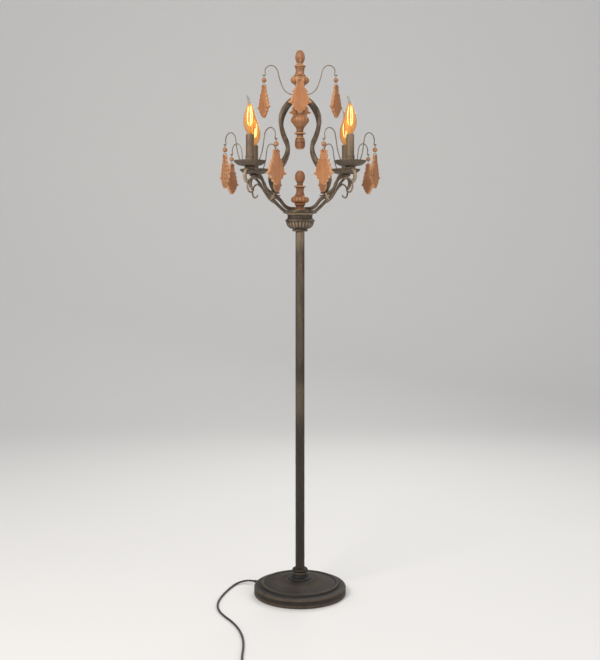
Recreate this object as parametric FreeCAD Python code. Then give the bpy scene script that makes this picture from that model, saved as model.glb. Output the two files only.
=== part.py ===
import FreeCAD, Part
import math
import os

from FreeCAD import Vector

os.makedirs("parts", exist_ok=True)

# Candlestick floor lamp. Millimetres, +Z up, origin on the floor under the pole, front towards -Y.

# ---- heights of the stack -------------------------------------------------------------------
FELT_THICKNESS = 2.0
BASE_CLEARANCE = 1.0            # the casting's skirt stays clear of the floor
BASE_TOP = 62.0
COLLAR_HEIGHT = 11.0
POLE_JOINT_HEIGHT = 541.0
UPPER_POLE_LENGTH = 472.0
BOWL_HEIGHT = 49.0
RIM_THICKNESS = 10.5
HUB_RISE = 301.5                # bowl rim to the underside of the lyre hub
HUB_HEIGHT = 24.0

# ---- radii and walls -------------------------------------------------------------------------
BASE_RADIUS = 128.0
BASE_WALL = 3.0
WEIGHT_ROOM = 24.0              # base edge to the counterweight
WEIGHT_EDGE = 18.0              # thickness of the weight at its edge
WEIGHT_HUB_RADIUS = 26.0
POLE_RADIUS = 12.7
POLE_WALL = 1.6
RIM_RADIUS = 47.0
HUB_RADIUS = 19.0
STEM_RADIUS = 5.0               # threaded lamp pipe
COLUMN_ROD_RADIUS = 3.0
FIT = 0.1                       # radial room of a bored piece on its pipe or rod
SEAT_GAP = 0.2                  # between curved pieces that rest on each other

# ---- arms and lyre ---------------------------------------------------------------------------
ARM_COUNT = 4
FIRST_ARM_AZIMUTH = 45.0
CANDLE_RADIUS = 189.0           # pole axis to candle axis
ARM_ROD_RADIUS = 4.0
LEAF_ROD_RADIUS = 3.6
CURL_ROD_RADIUS = 2.2
CURL_SIDES = 8
LYRE_ROD_RADIUS = 6.0
LYRE_FOOT_RADIUS = 2.8
LYRE_START_HEADING = -27.0      # the rods leave the hub slanting down
LYRE_ROOT = 13.0                # how near the axis they reach in the hub
ARM_RISE = 104.5                # rim to the crest under the candle
TIE_LENGTH = 10.0
TIE_WALL = 1.5
TIE_SLOPE = 22.0
TIE_HEIGHT_AT = 36.5            # rim to the tie's middle
ROD_SIDES = 12                  # forged rods have hammered flats

# ---- candles ---------------------------------------------------------------------------------
CUP_HEIGHT = 9.0
PAN_RADIUS = 43.5
PAN_DEPTH = 13.5
PAN_WALL = 1.5
HOLDER_RADIUS = 11.8
HOLDER_HEIGHT = 26.0
SLEEVE_RADIUS = 10.8
SLEEVE_WALL = 1.2
SLEEVE_HEIGHT = 79.6
SOCKET_RADIUS = 9.2
SOCKET_BORE = 7.0
BULB_BASE_RADIUS = 6.75
BULB_BASE_LENGTH = 24.0
BULB_RADIUS = 17.5
BULB_LENGTH = 105.0             # glass, from the screw base to the bent tip

# ---- wire arms and hanging drops ------------------------------------------------------------
WIRE_RADIUS = 1.4
WIRE_SIDES = 8
HOOK_RADIUS = 3.2
HOOK_FLAT = 2.4
PIN_RADIUS = 0.7
RING_SIDES = 12
EYE_RADIUS = 3.0                # centre line of the small eye in the hook
EYE_DROP = 0.5                  # the eye hangs this far below the middle of the hook wire
BEAD_RADIUS = 6.7
BEAD_HEIGHT = 12.4
BEAD_DEPTH = 12.85              # hook wire to the bead's centre
RING_RADIUS = 5.3               # centre line of the ring through the carved drop
RING_DEPTH = 15.1               # bead's centre to the ring's centre
DROP_LENGTH = 92.0
DROP_HOLE_DEPTH = 6.6
DROP_HOLE_RADIUS = 2.3
DROP_EDGE_THICKNESS = 6.0
DROP_PANEL_THICKNESS = 11.0

# ---- cord --------------------------------------------------------------------------------------
CORD_RADIUS = 2.75
CORD_SIDES = 8
CORD_AZIMUTH = 150.0
CORD_EXIT_HEIGHT = 9.0
CORD_FIRST_RUN = 17.5
RELIEF_LENGTH = 22.0
COIL_TURNS = 6
COIL_RADIUS = 38.0
COIL_PITCH = 6.1
PLUG_RADIUS = 8.8

# ---- levels that follow from the sizes above ---------------------------------------------------
UPPER_POLE_TOP = POLE_JOINT_HEIGHT + UPPER_POLE_LENGTH
BOWL_TOP = UPPER_POLE_TOP + BOWL_HEIGHT
RIM_TOP = BOWL_TOP + RIM_THICKNESS
HUB_BOTTOM = RIM_TOP + HUB_RISE
HUB_TOP = HUB_BOTTOM + HUB_HEIGHT
ARM_CREST = RIM_TOP + ARM_RISE
TIE_RADIUS_AT = (RIM_RADIUS + CANDLE_RADIUS) / 2 - 11.0
TIE_LEVEL = RIM_TOP + TIE_HEIGHT_AT
CUP_BOTTOM = ARM_CREST - 1.0
PAN_BOTTOM = CUP_BOTTOM + CUP_HEIGHT
PAN_FLOOR = PAN_BOTTOM + PAN_WALL
SLEEVE_BOTTOM = PAN_FLOOR + 2.7
SLEEVE_TOP = SLEEVE_BOTTOM + SLEEVE_HEIGHT
SOCKET_TOP = SLEEVE_TOP - 2.0

UP = Vector(0, 0, 1)
ORIGIN = Vector(0, 0, 0)


# ---- shared makers -----------------------------------------------------------------------------
def save(name, solids):
    """Writes one node; a group of like pieces goes in as a compound."""
    shape = solids[0] if len(solids) == 1 else Part.makeCompound(solids)
    shape.exportStep("parts/" + name + ".step")


def section_edges(points, to_point):
    """Edges through points: a pair is a straight run, four numbers an arc (middle, then end)."""
    edges = []
    here = to_point(points[0][0], points[0][1])
    for step in points[1:]:
        there = to_point(step[-2], step[-1])
        if len(step) == 2:
            edges.append(Part.LineSegment(here, there).toShape())
        else:
            edges.append(Part.Arc(here, to_point(step[0], step[1]), there).toShape())
        here = there
    return edges


def turned(outline, bottom=0.0, bore=0.0):
    """A piece turned on the lathe: the outer outline runs (radius, height) from bottom to top."""
    first, last = outline[0], outline[-1]
    loop = [(bore, first[1])] + list(outline) + [(bore, last[-1]), (bore, first[1])]
    edges = section_edges(loop, lambda r, h: Vector(r, 0, bottom + h))
    face = Part.Face(Part.Wire(edges))
    return face.revolve(ORIGIN, UP, 360)


def sleeve(outer, inner, height, bottom):
    """A plain tube standing on its end."""
    tube = Part.makeCylinder(outer, height, Vector(0, 0, bottom))
    return tube.cut(Part.makeCylinder(inner, height, Vector(0, 0, bottom)))


def arc_chain(start, heading, knots):
    """Arcs through the knots, each tangent to the one before; heading is in degrees from +r.

    Gives the edges in the XZ plane, the last point and the last heading.
    """
    edges = []
    radius, height = start
    for knot_r, knot_z in knots:
        chord = math.hypot(knot_r - radius, knot_z - height)
        bearing = math.degrees(math.atan2(knot_z - height, knot_r - radius))
        half_turn = (bearing - heading + 180.0) % 360.0 - 180.0
        middle_bearing = math.radians(bearing - half_turn / 2.0)
        reach = chord / 2.0 / math.cos(math.radians(half_turn / 2.0))
        here = Vector(radius, 0, height)
        there = Vector(knot_r, 0, knot_z)
        middle = here + Vector(math.cos(middle_bearing), 0, math.sin(middle_bearing)) * reach
        if abs(half_turn) < 0.05:
            edges.append(Part.LineSegment(here, there).toShape())
        else:
            edges.append(Part.Arc(here, middle, there).toShape())
        radius, height = knot_r, knot_z
        heading = bearing + half_turn
    return edges, (radius, height), heading


def direction(heading):
    return Vector(math.cos(math.radians(heading)), 0, math.sin(math.radians(heading)))


def section(centre, tangent, radius, sides=0):
    """A round section across tangent, or one with flats where sides is given."""
    circle = Part.Circle(centre, tangent, radius)
    if not sides:
        return Part.Wire(circle.toShape())
    corners = [circle.value(2 * math.pi * (i + 0.5) / sides) for i in range(sides)]
    return Part.makePolygon(corners + corners[:1])


def rod(edges, radius, sides=0):
    """A rod along tangent edges."""
    path = Part.Wire(edges)
    first = path.OrderedEdges[0]
    start = section(first.valueAt(first.FirstParameter), first.tangentAt(first.FirstParameter), radius, sides)
    return path.makePipeShell([start], True, False)


def tapered_rod(edges, radius, end_radius):
    """A round rod that thins steadily along tangent edges."""
    path = Part.Wire(edges)
    first, last = path.OrderedEdges[0], path.OrderedEdges[-1]
    sections = [section(first.valueAt(first.FirstParameter), first.tangentAt(first.FirstParameter), radius),
                section(last.valueAt(last.LastParameter), last.tangentAt(last.LastParameter), end_radius)]
    return path.makePipeShell(sections, True, False)


def tip(point, heading, radius, length):
    """The drawn-out point of a forged rod."""
    place = Vector(point[0], 0, point[1])
    return Part.makeCone(radius, radius * 0.25, length, place, direction(heading))


def turn_to(shape, azimuth, centre=(0.0, 0.0)):
    """A copy turned about Z from +X to azimuth, then moved to centre."""
    placed = shape.copy()
    placed.rotate(ORIGIN, UP, azimuth)
    placed.translate(Vector(centre[0], centre[1], 0))
    return placed


def around(radius, azimuth):
    angle = math.radians(azimuth)
    return radius * math.cos(angle), radius * math.sin(angle)


ARM_AZIMUTHS = [FIRST_ARM_AZIMUTH + 360.0 / ARM_COUNT * i for i in range(ARM_COUNT)]
CANDLES = [around(CANDLE_RADIUS, azimuth) for azimuth in ARM_AZIMUTHS]


# ---- base --------------------------------------------------------------------------------------
def base_outline():
    """Skirt, rounded shoulder, raised ring, shallow dome, step and neck, from the floor up."""
    edge = BASE_RADIUS
    return [
        (edge - 1.5, BASE_CLEARANCE), (edge, BASE_CLEARANCE + 1.5), (edge, 19.0),
        (edge - 1.6, 23.6, edge - 6.0, 25.5), (edge - 16.0, 27.0), (edge - 19.0, 31.5),
        (edge - 22.5, 33.0), (edge - 26.5, 32.0), (edge - 29.0, 30.5), (66.0, 38.5), (33.0, 44.0),
        (31.0, 47.2), (26.0, 48.0), (21.5, 52.0, 20.0, BASE_TOP - 3.0), (18.5, BASE_TOP),
    ]


def base_casting():
    pole_bore = POLE_RADIUS + FIT
    shell = turned(base_outline(), bore=pole_bore)
    inner_edge = BASE_RADIUS - BASE_WALL
    hollow = turned([
        (inner_edge, BASE_CLEARANCE - 1.0), (inner_edge, 18.0), (inner_edge - 8.0, 22.5),
        (inner_edge - 30.0, 27.0), (34.0, 40.0), (28.0, 40.0), (28.0, POLE_BOTTOM),
    ])
    cord_hole = Part.makeCylinder(
        RELIEF_ROOT_RADIUS + FIT, 2 * BASE_WALL + 4.0,
        Vector(BASE_RADIUS - 2 * BASE_WALL, 0, CORD_EXIT_HEIGHT), Vector(1, 0, 0))
    return shell.cut(hollow).cut(turn_to(cord_hole, CORD_AZIMUTH))


def base_weight():
    edge = BASE_RADIUS - WEIGHT_ROOM
    hub = WEIGHT_HUB_RADIUS
    shoulder = FELT_THICKNESS + WEIGHT_EDGE
    weight = turned([
        (edge, FELT_THICKNESS), (edge, shoulder), (edge - 12.0, shoulder + 4.5), (hub + 8.0, POLE_BOTTOM - 7.0),
        (hub, POLE_BOTTOM - 7.0), (hub, POLE_BOTTOM - SEAT_GAP),
    ], bore=STEM_RADIUS + FIT)
    nut_pocket = Part.makeCylinder(17.0, 8.0, Vector(0, 0, FELT_THICKNESS))
    cord_slot = Part.makeBox(edge, 9.0, 8.0, Vector(0, -4.5, FELT_THICKNESS))
    return weight.cut(nut_pocket).cut(turn_to(cord_slot, CORD_AZIMUTH))


def base_felt():
    return Part.makeCylinder(BASE_RADIUS - 6.0, FELT_THICKNESS)


def base_collar():
    swell = POLE_RADIUS + 9.0
    return turned([(POLE_RADIUS + 6.0, 0), (swell, COLLAR_HEIGHT / 2, POLE_RADIUS + 6.0, COLLAR_HEIGHT - 1.5),
                   (POLE_RADIUS + 3.0, COLLAR_HEIGHT)], BASE_TOP, POLE_RADIUS + FIT)


# ---- pole and the threaded parts inside ----------------------------------------------------------
POLE_BOTTOM = 41.0
PLUG_LENGTH = 14.0


def lower_pole():
    return sleeve(POLE_RADIUS, POLE_RADIUS - POLE_WALL, POLE_JOINT_HEIGHT - POLE_BOTTOM, POLE_BOTTOM)


def upper_pole():
    return sleeve(POLE_RADIUS, POLE_RADIUS - POLE_WALL, UPPER_POLE_LENGTH, POLE_JOINT_HEIGHT)


def pole_plug(bottom, length=PLUG_LENGTH):
    return sleeve(POLE_RADIUS - POLE_WALL, STEM_RADIUS, length, bottom)


def lamp_pipe(bottom, top):
    return sleeve(STEM_RADIUS, STEM_RADIUS - 1.3, top - bottom, bottom)


def hex_nut(across_flats, height, bore, bottom):
    corner = across_flats / math.sqrt(3)
    points = [Vector(*around(corner, 60.0 * i), bottom) for i in range(7)]
    prism = Part.Face(Part.makePolygon(points)).extrude(Vector(0, 0, height))
    return prism.cut(Part.makeCylinder(bore, height, Vector(0, 0, bottom)))


def threaded_hardware():
    """Lamp pipes, pole plugs, the column rod, the candle nipples and the nut under the weight."""
    base_pipe = lamp_pipe(FELT_THICKNESS + 1.0, POLE_BOTTOM + PLUG_LENGTH + 6.0)
    joint_pipe = lamp_pipe(POLE_JOINT_HEIGHT - PLUG_LENGTH, POLE_JOINT_HEIGHT + PLUG_LENGTH)
    top_pipe = lamp_pipe(UPPER_POLE_TOP - PLUG_LENGTH, RIM_TOP + FINIAL_SOCKET_DEPTH)
    column_rod = Part.makeCylinder(COLUMN_ROD_RADIUS, COLUMN_ROD_TOP - COLUMN_ROD_BOTTOM,
                                   Vector(0, 0, COLUMN_ROD_BOTTOM))
    pieces = [
        base_pipe, pole_plug(POLE_BOTTOM), hex_nut(22.0, 6.0, STEM_RADIUS, FELT_THICKNESS + 2.0),
        joint_pipe, pole_plug(POLE_JOINT_HEIGHT - PLUG_LENGTH), pole_plug(POLE_JOINT_HEIGHT),
        top_pipe, pole_plug(UPPER_POLE_TOP - PLUG_LENGTH), column_rod,
    ]
    nipple = sleeve(STEM_RADIUS, STEM_RADIUS - 1.3, SOCKET_BOTTOM + 4.0 - PAN_BOTTOM + 3.0, PAN_BOTTOM - 3.0)
    pieces += [turn_to(nipple, 0, candle) for candle in CANDLES]
    return pieces


# ---- bowl and lower finial -----------------------------------------------------------------------
def bowl_cup():
    height = BOWL_HEIGHT
    return turned([
        (18.0, 0), (21.5, 3.0, 18.5, 6.0), (21.0, 7.0), (33.5, 14.5, 37.5, height - 22.0),
        (40.5, height - 19.0, 37.0, height - 15.5), (34.0, height - 8.0, 37.0, height),
    ], UPPER_POLE_TOP, STEM_RADIUS + FIT)


def bowl_rim():
    edge = RIM_RADIUS
    return turned([
        (edge - 7.0, 0), (edge - 3.0, 1.5), (edge + 0.5, RIM_THICKNESS / 2 + 0.5, edge - 3.0, RIM_THICKNESS - 0.6),
        (edge - 6.0, RIM_THICKNESS),
    ], BOWL_TOP, STEM_RADIUS + FIT)


FINIAL_SOCKET_DEPTH = 24.0
FINIAL_FOOT_RADIUS = 16.5


def lower_finial():
    body = turned([
        (FINIAL_FOOT_RADIUS, 0), (FINIAL_FOOT_RADIUS, 2.5), (12.6, 6.0, 12.8, 13.0), (15.5, 16.5, 14.0, 20.0),
        (20.0, 21.0), (25.5, 28.0, 20.0, 37.5), (16.5, 39.5), (10.6, 52.0, 12.6, 63.5), (16.2, 65.0), (16.2, 68.0),
        (9.0, 70.0), (8.2, 76.0), (14.2, 90.0, 10.2, 106.0), (6.5, 109.8, 0.5, 110.8),
    ], RIM_TOP)
    return body.cut(Part.makeCylinder(STEM_RADIUS + FIT, FINIAL_SOCKET_DEPTH + 1.0, Vector(0, 0, RIM_TOP)))


# ---- lyre hub and the turned column ----------------------------------------------------------------
SPINDLE_LENGTH = 98.5           # turned piece under the hub
UPPER_SPINDLE_LENGTH = 84.0
COLUMN_ROD_BOTTOM = HUB_BOTTOM - SPINDLE_LENGTH - 16.0
COLUMN_ROD_TOP = HUB_TOP + UPPER_SPINDLE_LENGTH + 18.0


def lyre_start(radius):
    """Where the slanting start of a lyre rod passes a distance from the axis."""
    fall = (radius - HUB_RADIUS) * math.tan(math.radians(LYRE_START_HEADING))
    return radius, HUB_BOTTOM + HUB_HEIGHT / 2 + fall


def lyre_hub():
    """A turned drum with a slanting socket for each lyre rod."""
    drum = turned([
        (HUB_RADIUS - 3.0, 0), (HUB_RADIUS, 3.0), (HUB_RADIUS, HUB_HEIGHT - 1.0), (HUB_RADIUS - 1.0, HUB_HEIGHT),
    ], HUB_BOTTOM, COLUMN_ROD_RADIUS + FIT)
    root_r, root_z = lyre_start(LYRE_ROOT)
    socket = Part.makeCylinder(LYRE_ROD_RADIUS + FIT, HUB_RADIUS, Vector(root_r, 0, root_z),
                               direction(LYRE_START_HEADING))
    return drum.cut([turn_to(socket, azimuth) for azimuth in ARM_AZIMUTHS])


def lower_spindle():
    return turned([
        (9.5, 0), (8.8, 8.0), (16.0, 10.5), (16.0, 13.5), (10.4, 15.5), (9.6, 21.0, 14.6, 31.0), (19.5, 38.0),
        (21.5, 40.5), (25.8, 47.0, 23.0, 56.5), (19.0, 61.5), (14.0, 63.5), (12.6, 69.0, 14.0, 75.0),
        (18.5, 84.0, 15.0, 92.5), (16.5, SPINDLE_LENGTH),
    ], HUB_BOTTOM - SPINDLE_LENGTH, COLUMN_ROD_RADIUS + FIT)


def column_drop():
    bottom = HUB_BOTTOM - SPINDLE_LENGTH - DROP_KNOB_HEIGHT
    body = turned([
        (8.0, 0), (13.4, 7.0, 14.0, 17.0), (13.6, 26.0, 12.0, 29.0), (12.5, DROP_KNOB_HEIGHT - 1.5),
        (12.0, DROP_KNOB_HEIGHT),
    ], bottom)
    return body.cut(Part.makeCylinder(COLUMN_ROD_RADIUS + FIT, 30.0, Vector(0, 0, COLUMN_ROD_BOTTOM - 1.0)))


DROP_KNOB_HEIGHT = 32.5


def upper_spindle():
    return turned([
        (17.0, 0), (21.5, 7.0), (21.5, 8.5), (14.0, 12.0, 12.6, 20.0), (15.0, 24.5, 20.0, 28.5), (22.0, 30.0),
        (26.8, 37.5, 22.0, 47.0), (18.0, 48.5), (18.0, 51.0), (13.2, 58.0, 12.5, 66.0), (13.5, 72.5, 16.2, 76.5),
        (16.2, 79.0), (10.0, UPPER_SPINDLE_LENGTH),
    ], HUB_TOP, COLUMN_ROD_RADIUS + FIT)


def crown_finial():
    bottom = HUB_TOP + UPPER_SPINDLE_LENGTH
    body = turned([(6.4, 0), (13.9, 17.0, 9.6, 33.0), (6.0, 37.2, 0.5, 38.5)], bottom)
    return body.cut(Part.makeCylinder(COLUMN_ROD_RADIUS + FIT, 19.0, Vector(0, 0, bottom)))


# ---- arms ----------------------------------------------------------------------------------------
def arm_rod_edges():
    """From the finial's foot over the bowl rim, out in a wave to the crest, down into the scroll."""
    seat = RIM_TOP + ARM_ROD_RADIUS + SEAT_GAP
    lift = RIM_RADIUS - 13.0
    crest = CANDLE_RADIUS
    start = Part.LineSegment(Vector(FINIAL_FOOT_RADIUS + 0.7, 0, seat), Vector(lift, 0, seat)).toShape()
    knots = [(RIM_RADIUS + 22.0, RIM_TOP + 19.3), (TIE_RADIUS_AT + 2.0, TIE_LEVEL + 7.7),
             (crest - 47.5, ARM_CREST - 30.7), (crest - 23.6, ARM_CREST - 5.3), (crest - 1.3, ARM_CREST),
             (crest + 16.6, ARM_CREST - 11.6), (crest + 11.5, ARM_CREST - 33.5)]
    edges, end, heading = arc_chain((lift, seat), 0.0, knots)
    return [start] + edges, end, heading


def leaf_rod_edges():
    """The second rod: from the edge of the rim along the first, up to a leaf under the candle."""
    seat = (RIM_RADIUS + 1.0, RIM_TOP - 6.0)
    knots = [(RIM_RADIUS + 18.0, RIM_TOP - 1.5), (TIE_RADIUS_AT - 6.0, TIE_LEVEL - 10.0),
             (TIE_RADIUS_AT + 18.0, TIE_LEVEL), (CANDLE_RADIUS - 44.0, ARM_CREST - 49.0),
             (CANDLE_RADIUS - 17.5, ARM_CREST - 23.0)]
    return arc_chain(seat, 4.0, knots)


def curl_edges():
    """The thin curl that ties the leaf to the scroll and ends in a hook below it."""
    axis = CANDLE_RADIUS
    knots = [(axis - 1.0, ARM_CREST - 27.5), (axis + 8.0, ARM_CREST - 40.5), (axis + 5.5, ARM_CREST - 57.5),
             (axis - 11.0, ARM_CREST - 59.0)]
    return arc_chain((axis - 17.0, ARM_CREST - 24.5), 15.0, knots)


def candle_arm():
    main_edges, main_end, main_heading = arm_rod_edges()
    leaf_edges, leaf_end, leaf_heading = leaf_rod_edges()
    thin_edges, thin_end, thin_heading = curl_edges()
    tie_height = 2 * ARM_ROD_RADIUS + 2 * LEAF_ROD_RADIUS + 9.0
    tie_width = 2 * (ARM_ROD_RADIUS + TIE_WALL)
    tie = Part.makeBox(TIE_LENGTH, tie_width, tie_height,
                       Vector(-TIE_LENGTH / 2, -tie_width / 2, -tie_height / 2))
    tie.rotate(ORIGIN, Vector(0, 1, 0), -TIE_SLOPE)
    tie.translate(Vector(TIE_RADIUS_AT, 0, TIE_LEVEL))
    pieces = [
        rod(leaf_edges, LEAF_ROD_RADIUS, ROD_SIDES), tip(leaf_end, leaf_heading - 12.0, LEAF_ROD_RADIUS, 13.0),
        rod(thin_edges, CURL_ROD_RADIUS, CURL_SIDES), tip(thin_end, thin_heading, CURL_ROD_RADIUS, 7.0),
        tip(main_end, main_heading, ARM_ROD_RADIUS, 9.0), tie,
    ]
    return rod(main_edges, ARM_ROD_RADIUS, ROD_SIDES).multiFuse(pieces).removeSplitter()


# ---- lyre rods -------------------------------------------------------------------------------------
def lyre_rod():
    """From the hub out and down in a lyre curve, thinning to a tail that lies on the arm."""
    top = HUB_BOTTOM
    knots = [(HUB_RADIUS + 23.0, top - 2.0), (HUB_RADIUS + 49.5, top - 31.9), (HUB_RADIUS + 53.7, top - 72.3),
             (HUB_RADIUS + 36.0, top - 108.1), (HUB_RADIUS + 33.5, top - 148.3), (HUB_RADIUS + 62.6, ARM_CREST + 15.3)]
    root, collar = lyre_start(LYRE_ROOT), lyre_start(HUB_RADIUS + 1.0)
    start = Part.LineSegment(Vector(root[0], 0, root[1]), Vector(collar[0], 0, collar[1])).toShape()
    edges, turn_point, heading = arc_chain(collar, LYRE_START_HEADING, knots)
    edges.insert(0, start)
    foot_knots = [(TIE_RADIUS_AT - 0.5, ARM_CREST - 4.5), (TIE_RADIUS_AT + 9.0, TIE_LEVEL + 38.0),
                  (TIE_RADIUS_AT - 5.0, TIE_LEVEL + 15.1)]
    foot_edges, foot_end, foot_heading = arc_chain(turn_point, heading, foot_knots)
    foot = tapered_rod(foot_edges, LYRE_ROD_RADIUS, LYRE_FOOT_RADIUS)
    tail = tip(foot_end, foot_heading, LYRE_FOOT_RADIUS, 15.0)
    return rod(edges, LYRE_ROD_RADIUS, ROD_SIDES).multiFuse([foot, tail]).removeSplitter()


# ---- candles ---------------------------------------------------------------------------------------
SOCKET_BOTTOM = SLEEVE_BOTTOM + 20.0


def candle_cup():
    return turned([(6.0, 0), (13.4, 2.0), (14.6, 4.5), (12.0, CUP_HEIGHT)], CUP_BOTTOM, STEM_RADIUS + FIT)


def drip_pan():
    depth = PAN_DEPTH
    section = [
        (STEM_RADIUS + FIT, 0), (PAN_RADIUS - 13.5, 0), (PAN_RADIUS - 4.5, 4.0), (PAN_RADIUS, depth),
        (PAN_RADIUS - PAN_WALL, depth), (PAN_RADIUS - 5.5, 5.4), (PAN_RADIUS - 14.0, PAN_WALL),
        (STEM_RADIUS + FIT, PAN_WALL), (STEM_RADIUS + FIT, 0),
    ]
    edges = section_edges(section, lambda r, h: Vector(r, 0, PAN_BOTTOM + h))
    return Part.Face(Part.Wire(edges)).revolve(ORIGIN, UP, 360)


def sleeve_holder():
    """A cup that stands in the pan and takes the foot of the candle sleeve."""
    floor = SLEEVE_BOTTOM - PAN_FLOOR
    holder = Part.makeCylinder(HOLDER_RADIUS, HOLDER_HEIGHT, Vector(0, 0, PAN_FLOOR))
    holder = holder.cut(Part.makeCylinder(SLEEVE_RADIUS + FIT, HOLDER_HEIGHT, Vector(0, 0, PAN_FLOOR + floor)))
    return holder.cut(Part.makeCylinder(STEM_RADIUS + FIT, HOLDER_HEIGHT, Vector(0, 0, PAN_FLOOR)))


def candle_sleeve():
    return sleeve(SLEEVE_RADIUS, SLEEVE_RADIUS - SLEEVE_WALL, SLEEVE_HEIGHT, SLEEVE_BOTTOM)


def lamp_socket():
    body = Part.makeCylinder(SOCKET_RADIUS, SOCKET_TOP - SOCKET_BOTTOM, Vector(0, 0, SOCKET_BOTTOM))
    bore = Part.makeCylinder(SOCKET_BORE, SOCKET_TOP, Vector(0, 0, SOCKET_TOP - BULB_BASE_LENGTH - 1.0))
    seat = Part.makeCylinder(STEM_RADIUS + FIT, 5.0, Vector(0, 0, SOCKET_BOTTOM))
    return body.cut(bore).cut(seat)


def bulb():
    """Screw base and a flame-shaped glass whose tip is drawn over to one side."""
    neck = SOCKET_TOP + 1.5
    base = turned([(3.0, 0), (3.5, 2.0), (BULB_BASE_RADIUS, 4.0), (BULB_BASE_RADIUS, BULB_BASE_LENGTH + 1.5)],
                  SOCKET_TOP - BULB_BASE_LENGTH)
    wide = BULB_RADIUS
    stations = [(0.0, 7.5, 0.0), (0.1, 11.0, 0.0), (0.2, 15.4, 0.0), (0.31, wide, 0.0), (0.44, wide * 0.94, 0.0),
                (0.58, wide * 0.74, 0.0), (0.7, wide * 0.5, -0.6), (0.8, wide * 0.33, -1.9),
                (0.9, wide * 0.2, -4.2), (1.0, 1.0, -7.6)]
    circles = [Part.Wire(Part.Circle(Vector(side, 0, neck + share * BULB_LENGTH), UP, radius).toShape())
               for share, radius, side in stations]
    glass = Part.makeLoft(circles, True, False)
    return base, glass


# ---- wire arms ---------------------------------------------------------------------------------------
def hooked_wire(edges, end, heading):
    """Adds the hook: a turn to level, a short flat for the eye, and the turned-up end.

    Gives the wire and the middle of the flat, where a drop hangs.
    """
    up_normal = direction(heading + 90.0)
    centre = Vector(end[0], 0, end[1]) + up_normal * HOOK_RADIUS
    flat_start = (centre.x, centre.z - HOOK_RADIUS)
    flat_end = (flat_start[0] + HOOK_FLAT, flat_start[1])
    first_turn, _, _ = arc_chain(end, heading, [flat_start])
    rise = (flat_end[0] + HOOK_RADIUS * math.sin(math.radians(70.0)),
            flat_end[1] + HOOK_RADIUS * (1.0 - math.cos(math.radians(70.0))))
    last_turn, _, _ = arc_chain(flat_end, 0.0, [rise])
    flat = Part.LineSegment(Vector(flat_start[0], 0, flat_start[1]), Vector(flat_end[0], 0, flat_end[1])).toShape()
    wire = rod(edges + first_turn + [flat] + last_turn, WIRE_RADIUS, WIRE_SIDES)
    return wire, (flat_start[0] + HOOK_FLAT / 2, flat_start[1])


def crown_wire():
    start = HUB_RADIUS + SEAT_GAP
    knots = [(start + 29.6, HUB_TOP + 19.3), (start + 42.0, HUB_TOP + 59.2), (start + 48.0, HUB_TOP + 72.8),
             (start + 77.4, HUB_TOP + 55.9)]
    edges, end, heading = arc_chain((start, HUB_TOP - 2.2), 5.0, knots)
    return hooked_wire(edges, end, heading)


def pan_wire():
    """Starts at the sleeve holder, lies on the pan's floor, rises over the rim and arches down."""
    level = PAN_FLOOR + WIRE_RADIUS + SEAT_GAP / 2
    lift = PAN_RADIUS - 21.5
    start = Part.LineSegment(Vector(HOLDER_RADIUS + SEAT_GAP, 0, level), Vector(lift, 0, level)).toShape()
    knots = [(PAN_RADIUS - 9.5, level + 6.1), (PAN_RADIUS + 9.6, level + 51.5), (PAN_RADIUS + 14.0, level + 74.0),
             (PAN_RADIUS + 28.5, level + 90.5), (PAN_RADIUS + 53.8, level + 64.4)]
    edges, end, heading = arc_chain((lift, level), 0.0, knots)
    return hooked_wire([start] + edges, end, heading)


# ---- hanging drops -------------------------------------------------------------------------------------
def flat_ring(centre_radius, centre, axis):
    """A small bent ring of square wire, with a flat at its lowest point."""
    around_ring = [section(centre - axis * PIN_RADIUS, axis, radius, RING_SIDES)
                   for radius in (centre_radius + PIN_RADIUS, centre_radius - PIN_RADIUS)]
    return Part.Face(around_ring).extrude(axis * (2 * PIN_RADIUS))


def drop_link(ring_azimuth):
    """Eye pin and bead, hung from the origin; ring_azimuth turns the lower ring about the pin."""
    width = Vector(-math.sin(math.radians(ring_azimuth)), math.cos(math.radians(ring_azimuth)), 0)
    eye_centre = Vector(0, 0, -EYE_DROP)
    ring_centre = Vector(0, 0, -BEAD_DEPTH - RING_DEPTH)
    shank_top = eye_centre.z - EYE_RADIUS
    shank_bottom = ring_centre.z + RING_RADIUS
    shank = Part.makeCylinder(PIN_RADIUS, shank_top - shank_bottom, Vector(0, 0, shank_bottom))
    pin = flat_ring(EYE_RADIUS, eye_centre, Vector(1, 0, 0)).multiFuse(
        [shank, flat_ring(RING_RADIUS, ring_centre, width)])
    half = BEAD_HEIGHT / 2
    shoulder = BEAD_RADIUS * 0.84
    bead = turned([(2.6, -half), (shoulder, -half * 0.6), (BEAD_RADIUS, -half * 0.2), (BEAD_RADIUS, half * 0.2),
                   (shoulder, half * 0.6), (2.6, half)], -BEAD_DEPTH, PIN_RADIUS + FIT / 2)
    return pin, bead


DROP_HALF_OUTLINE = [           # (half width, depth below the top); four numbers are an arc
    (3.0, 0.0), (8.2, 2.4, 10.2, 8.5), (9.7, 15.5, 10.2, 22.5), (14.2, 25.5, 15.6, 31.0), (17.6, 35.0, 17.0, 39.5),
    (18.9, 43.5, 18.8, 48.0), (22.6, 56.5, 31.0, 62.0), (30.6, 65.2, 27.6, 67.2), (23.6, 68.6, 21.4, 70.8),
    (19.8, 75.0, 15.2, 78.6), (12.8, 82.6, 8.8, 85.4), (5.4, 89.6, 1.2, DROP_LENGTH),
]
DROP_PANEL_OUTLINE = [(6.5, 27.0), (11.8, 33.0), (13.6, 47.5), (17.5, 57.0), (22.0, 62.5), (15.0, 73.0), (9.0, 80.5),
                      (2.5, 87.0)]


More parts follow.
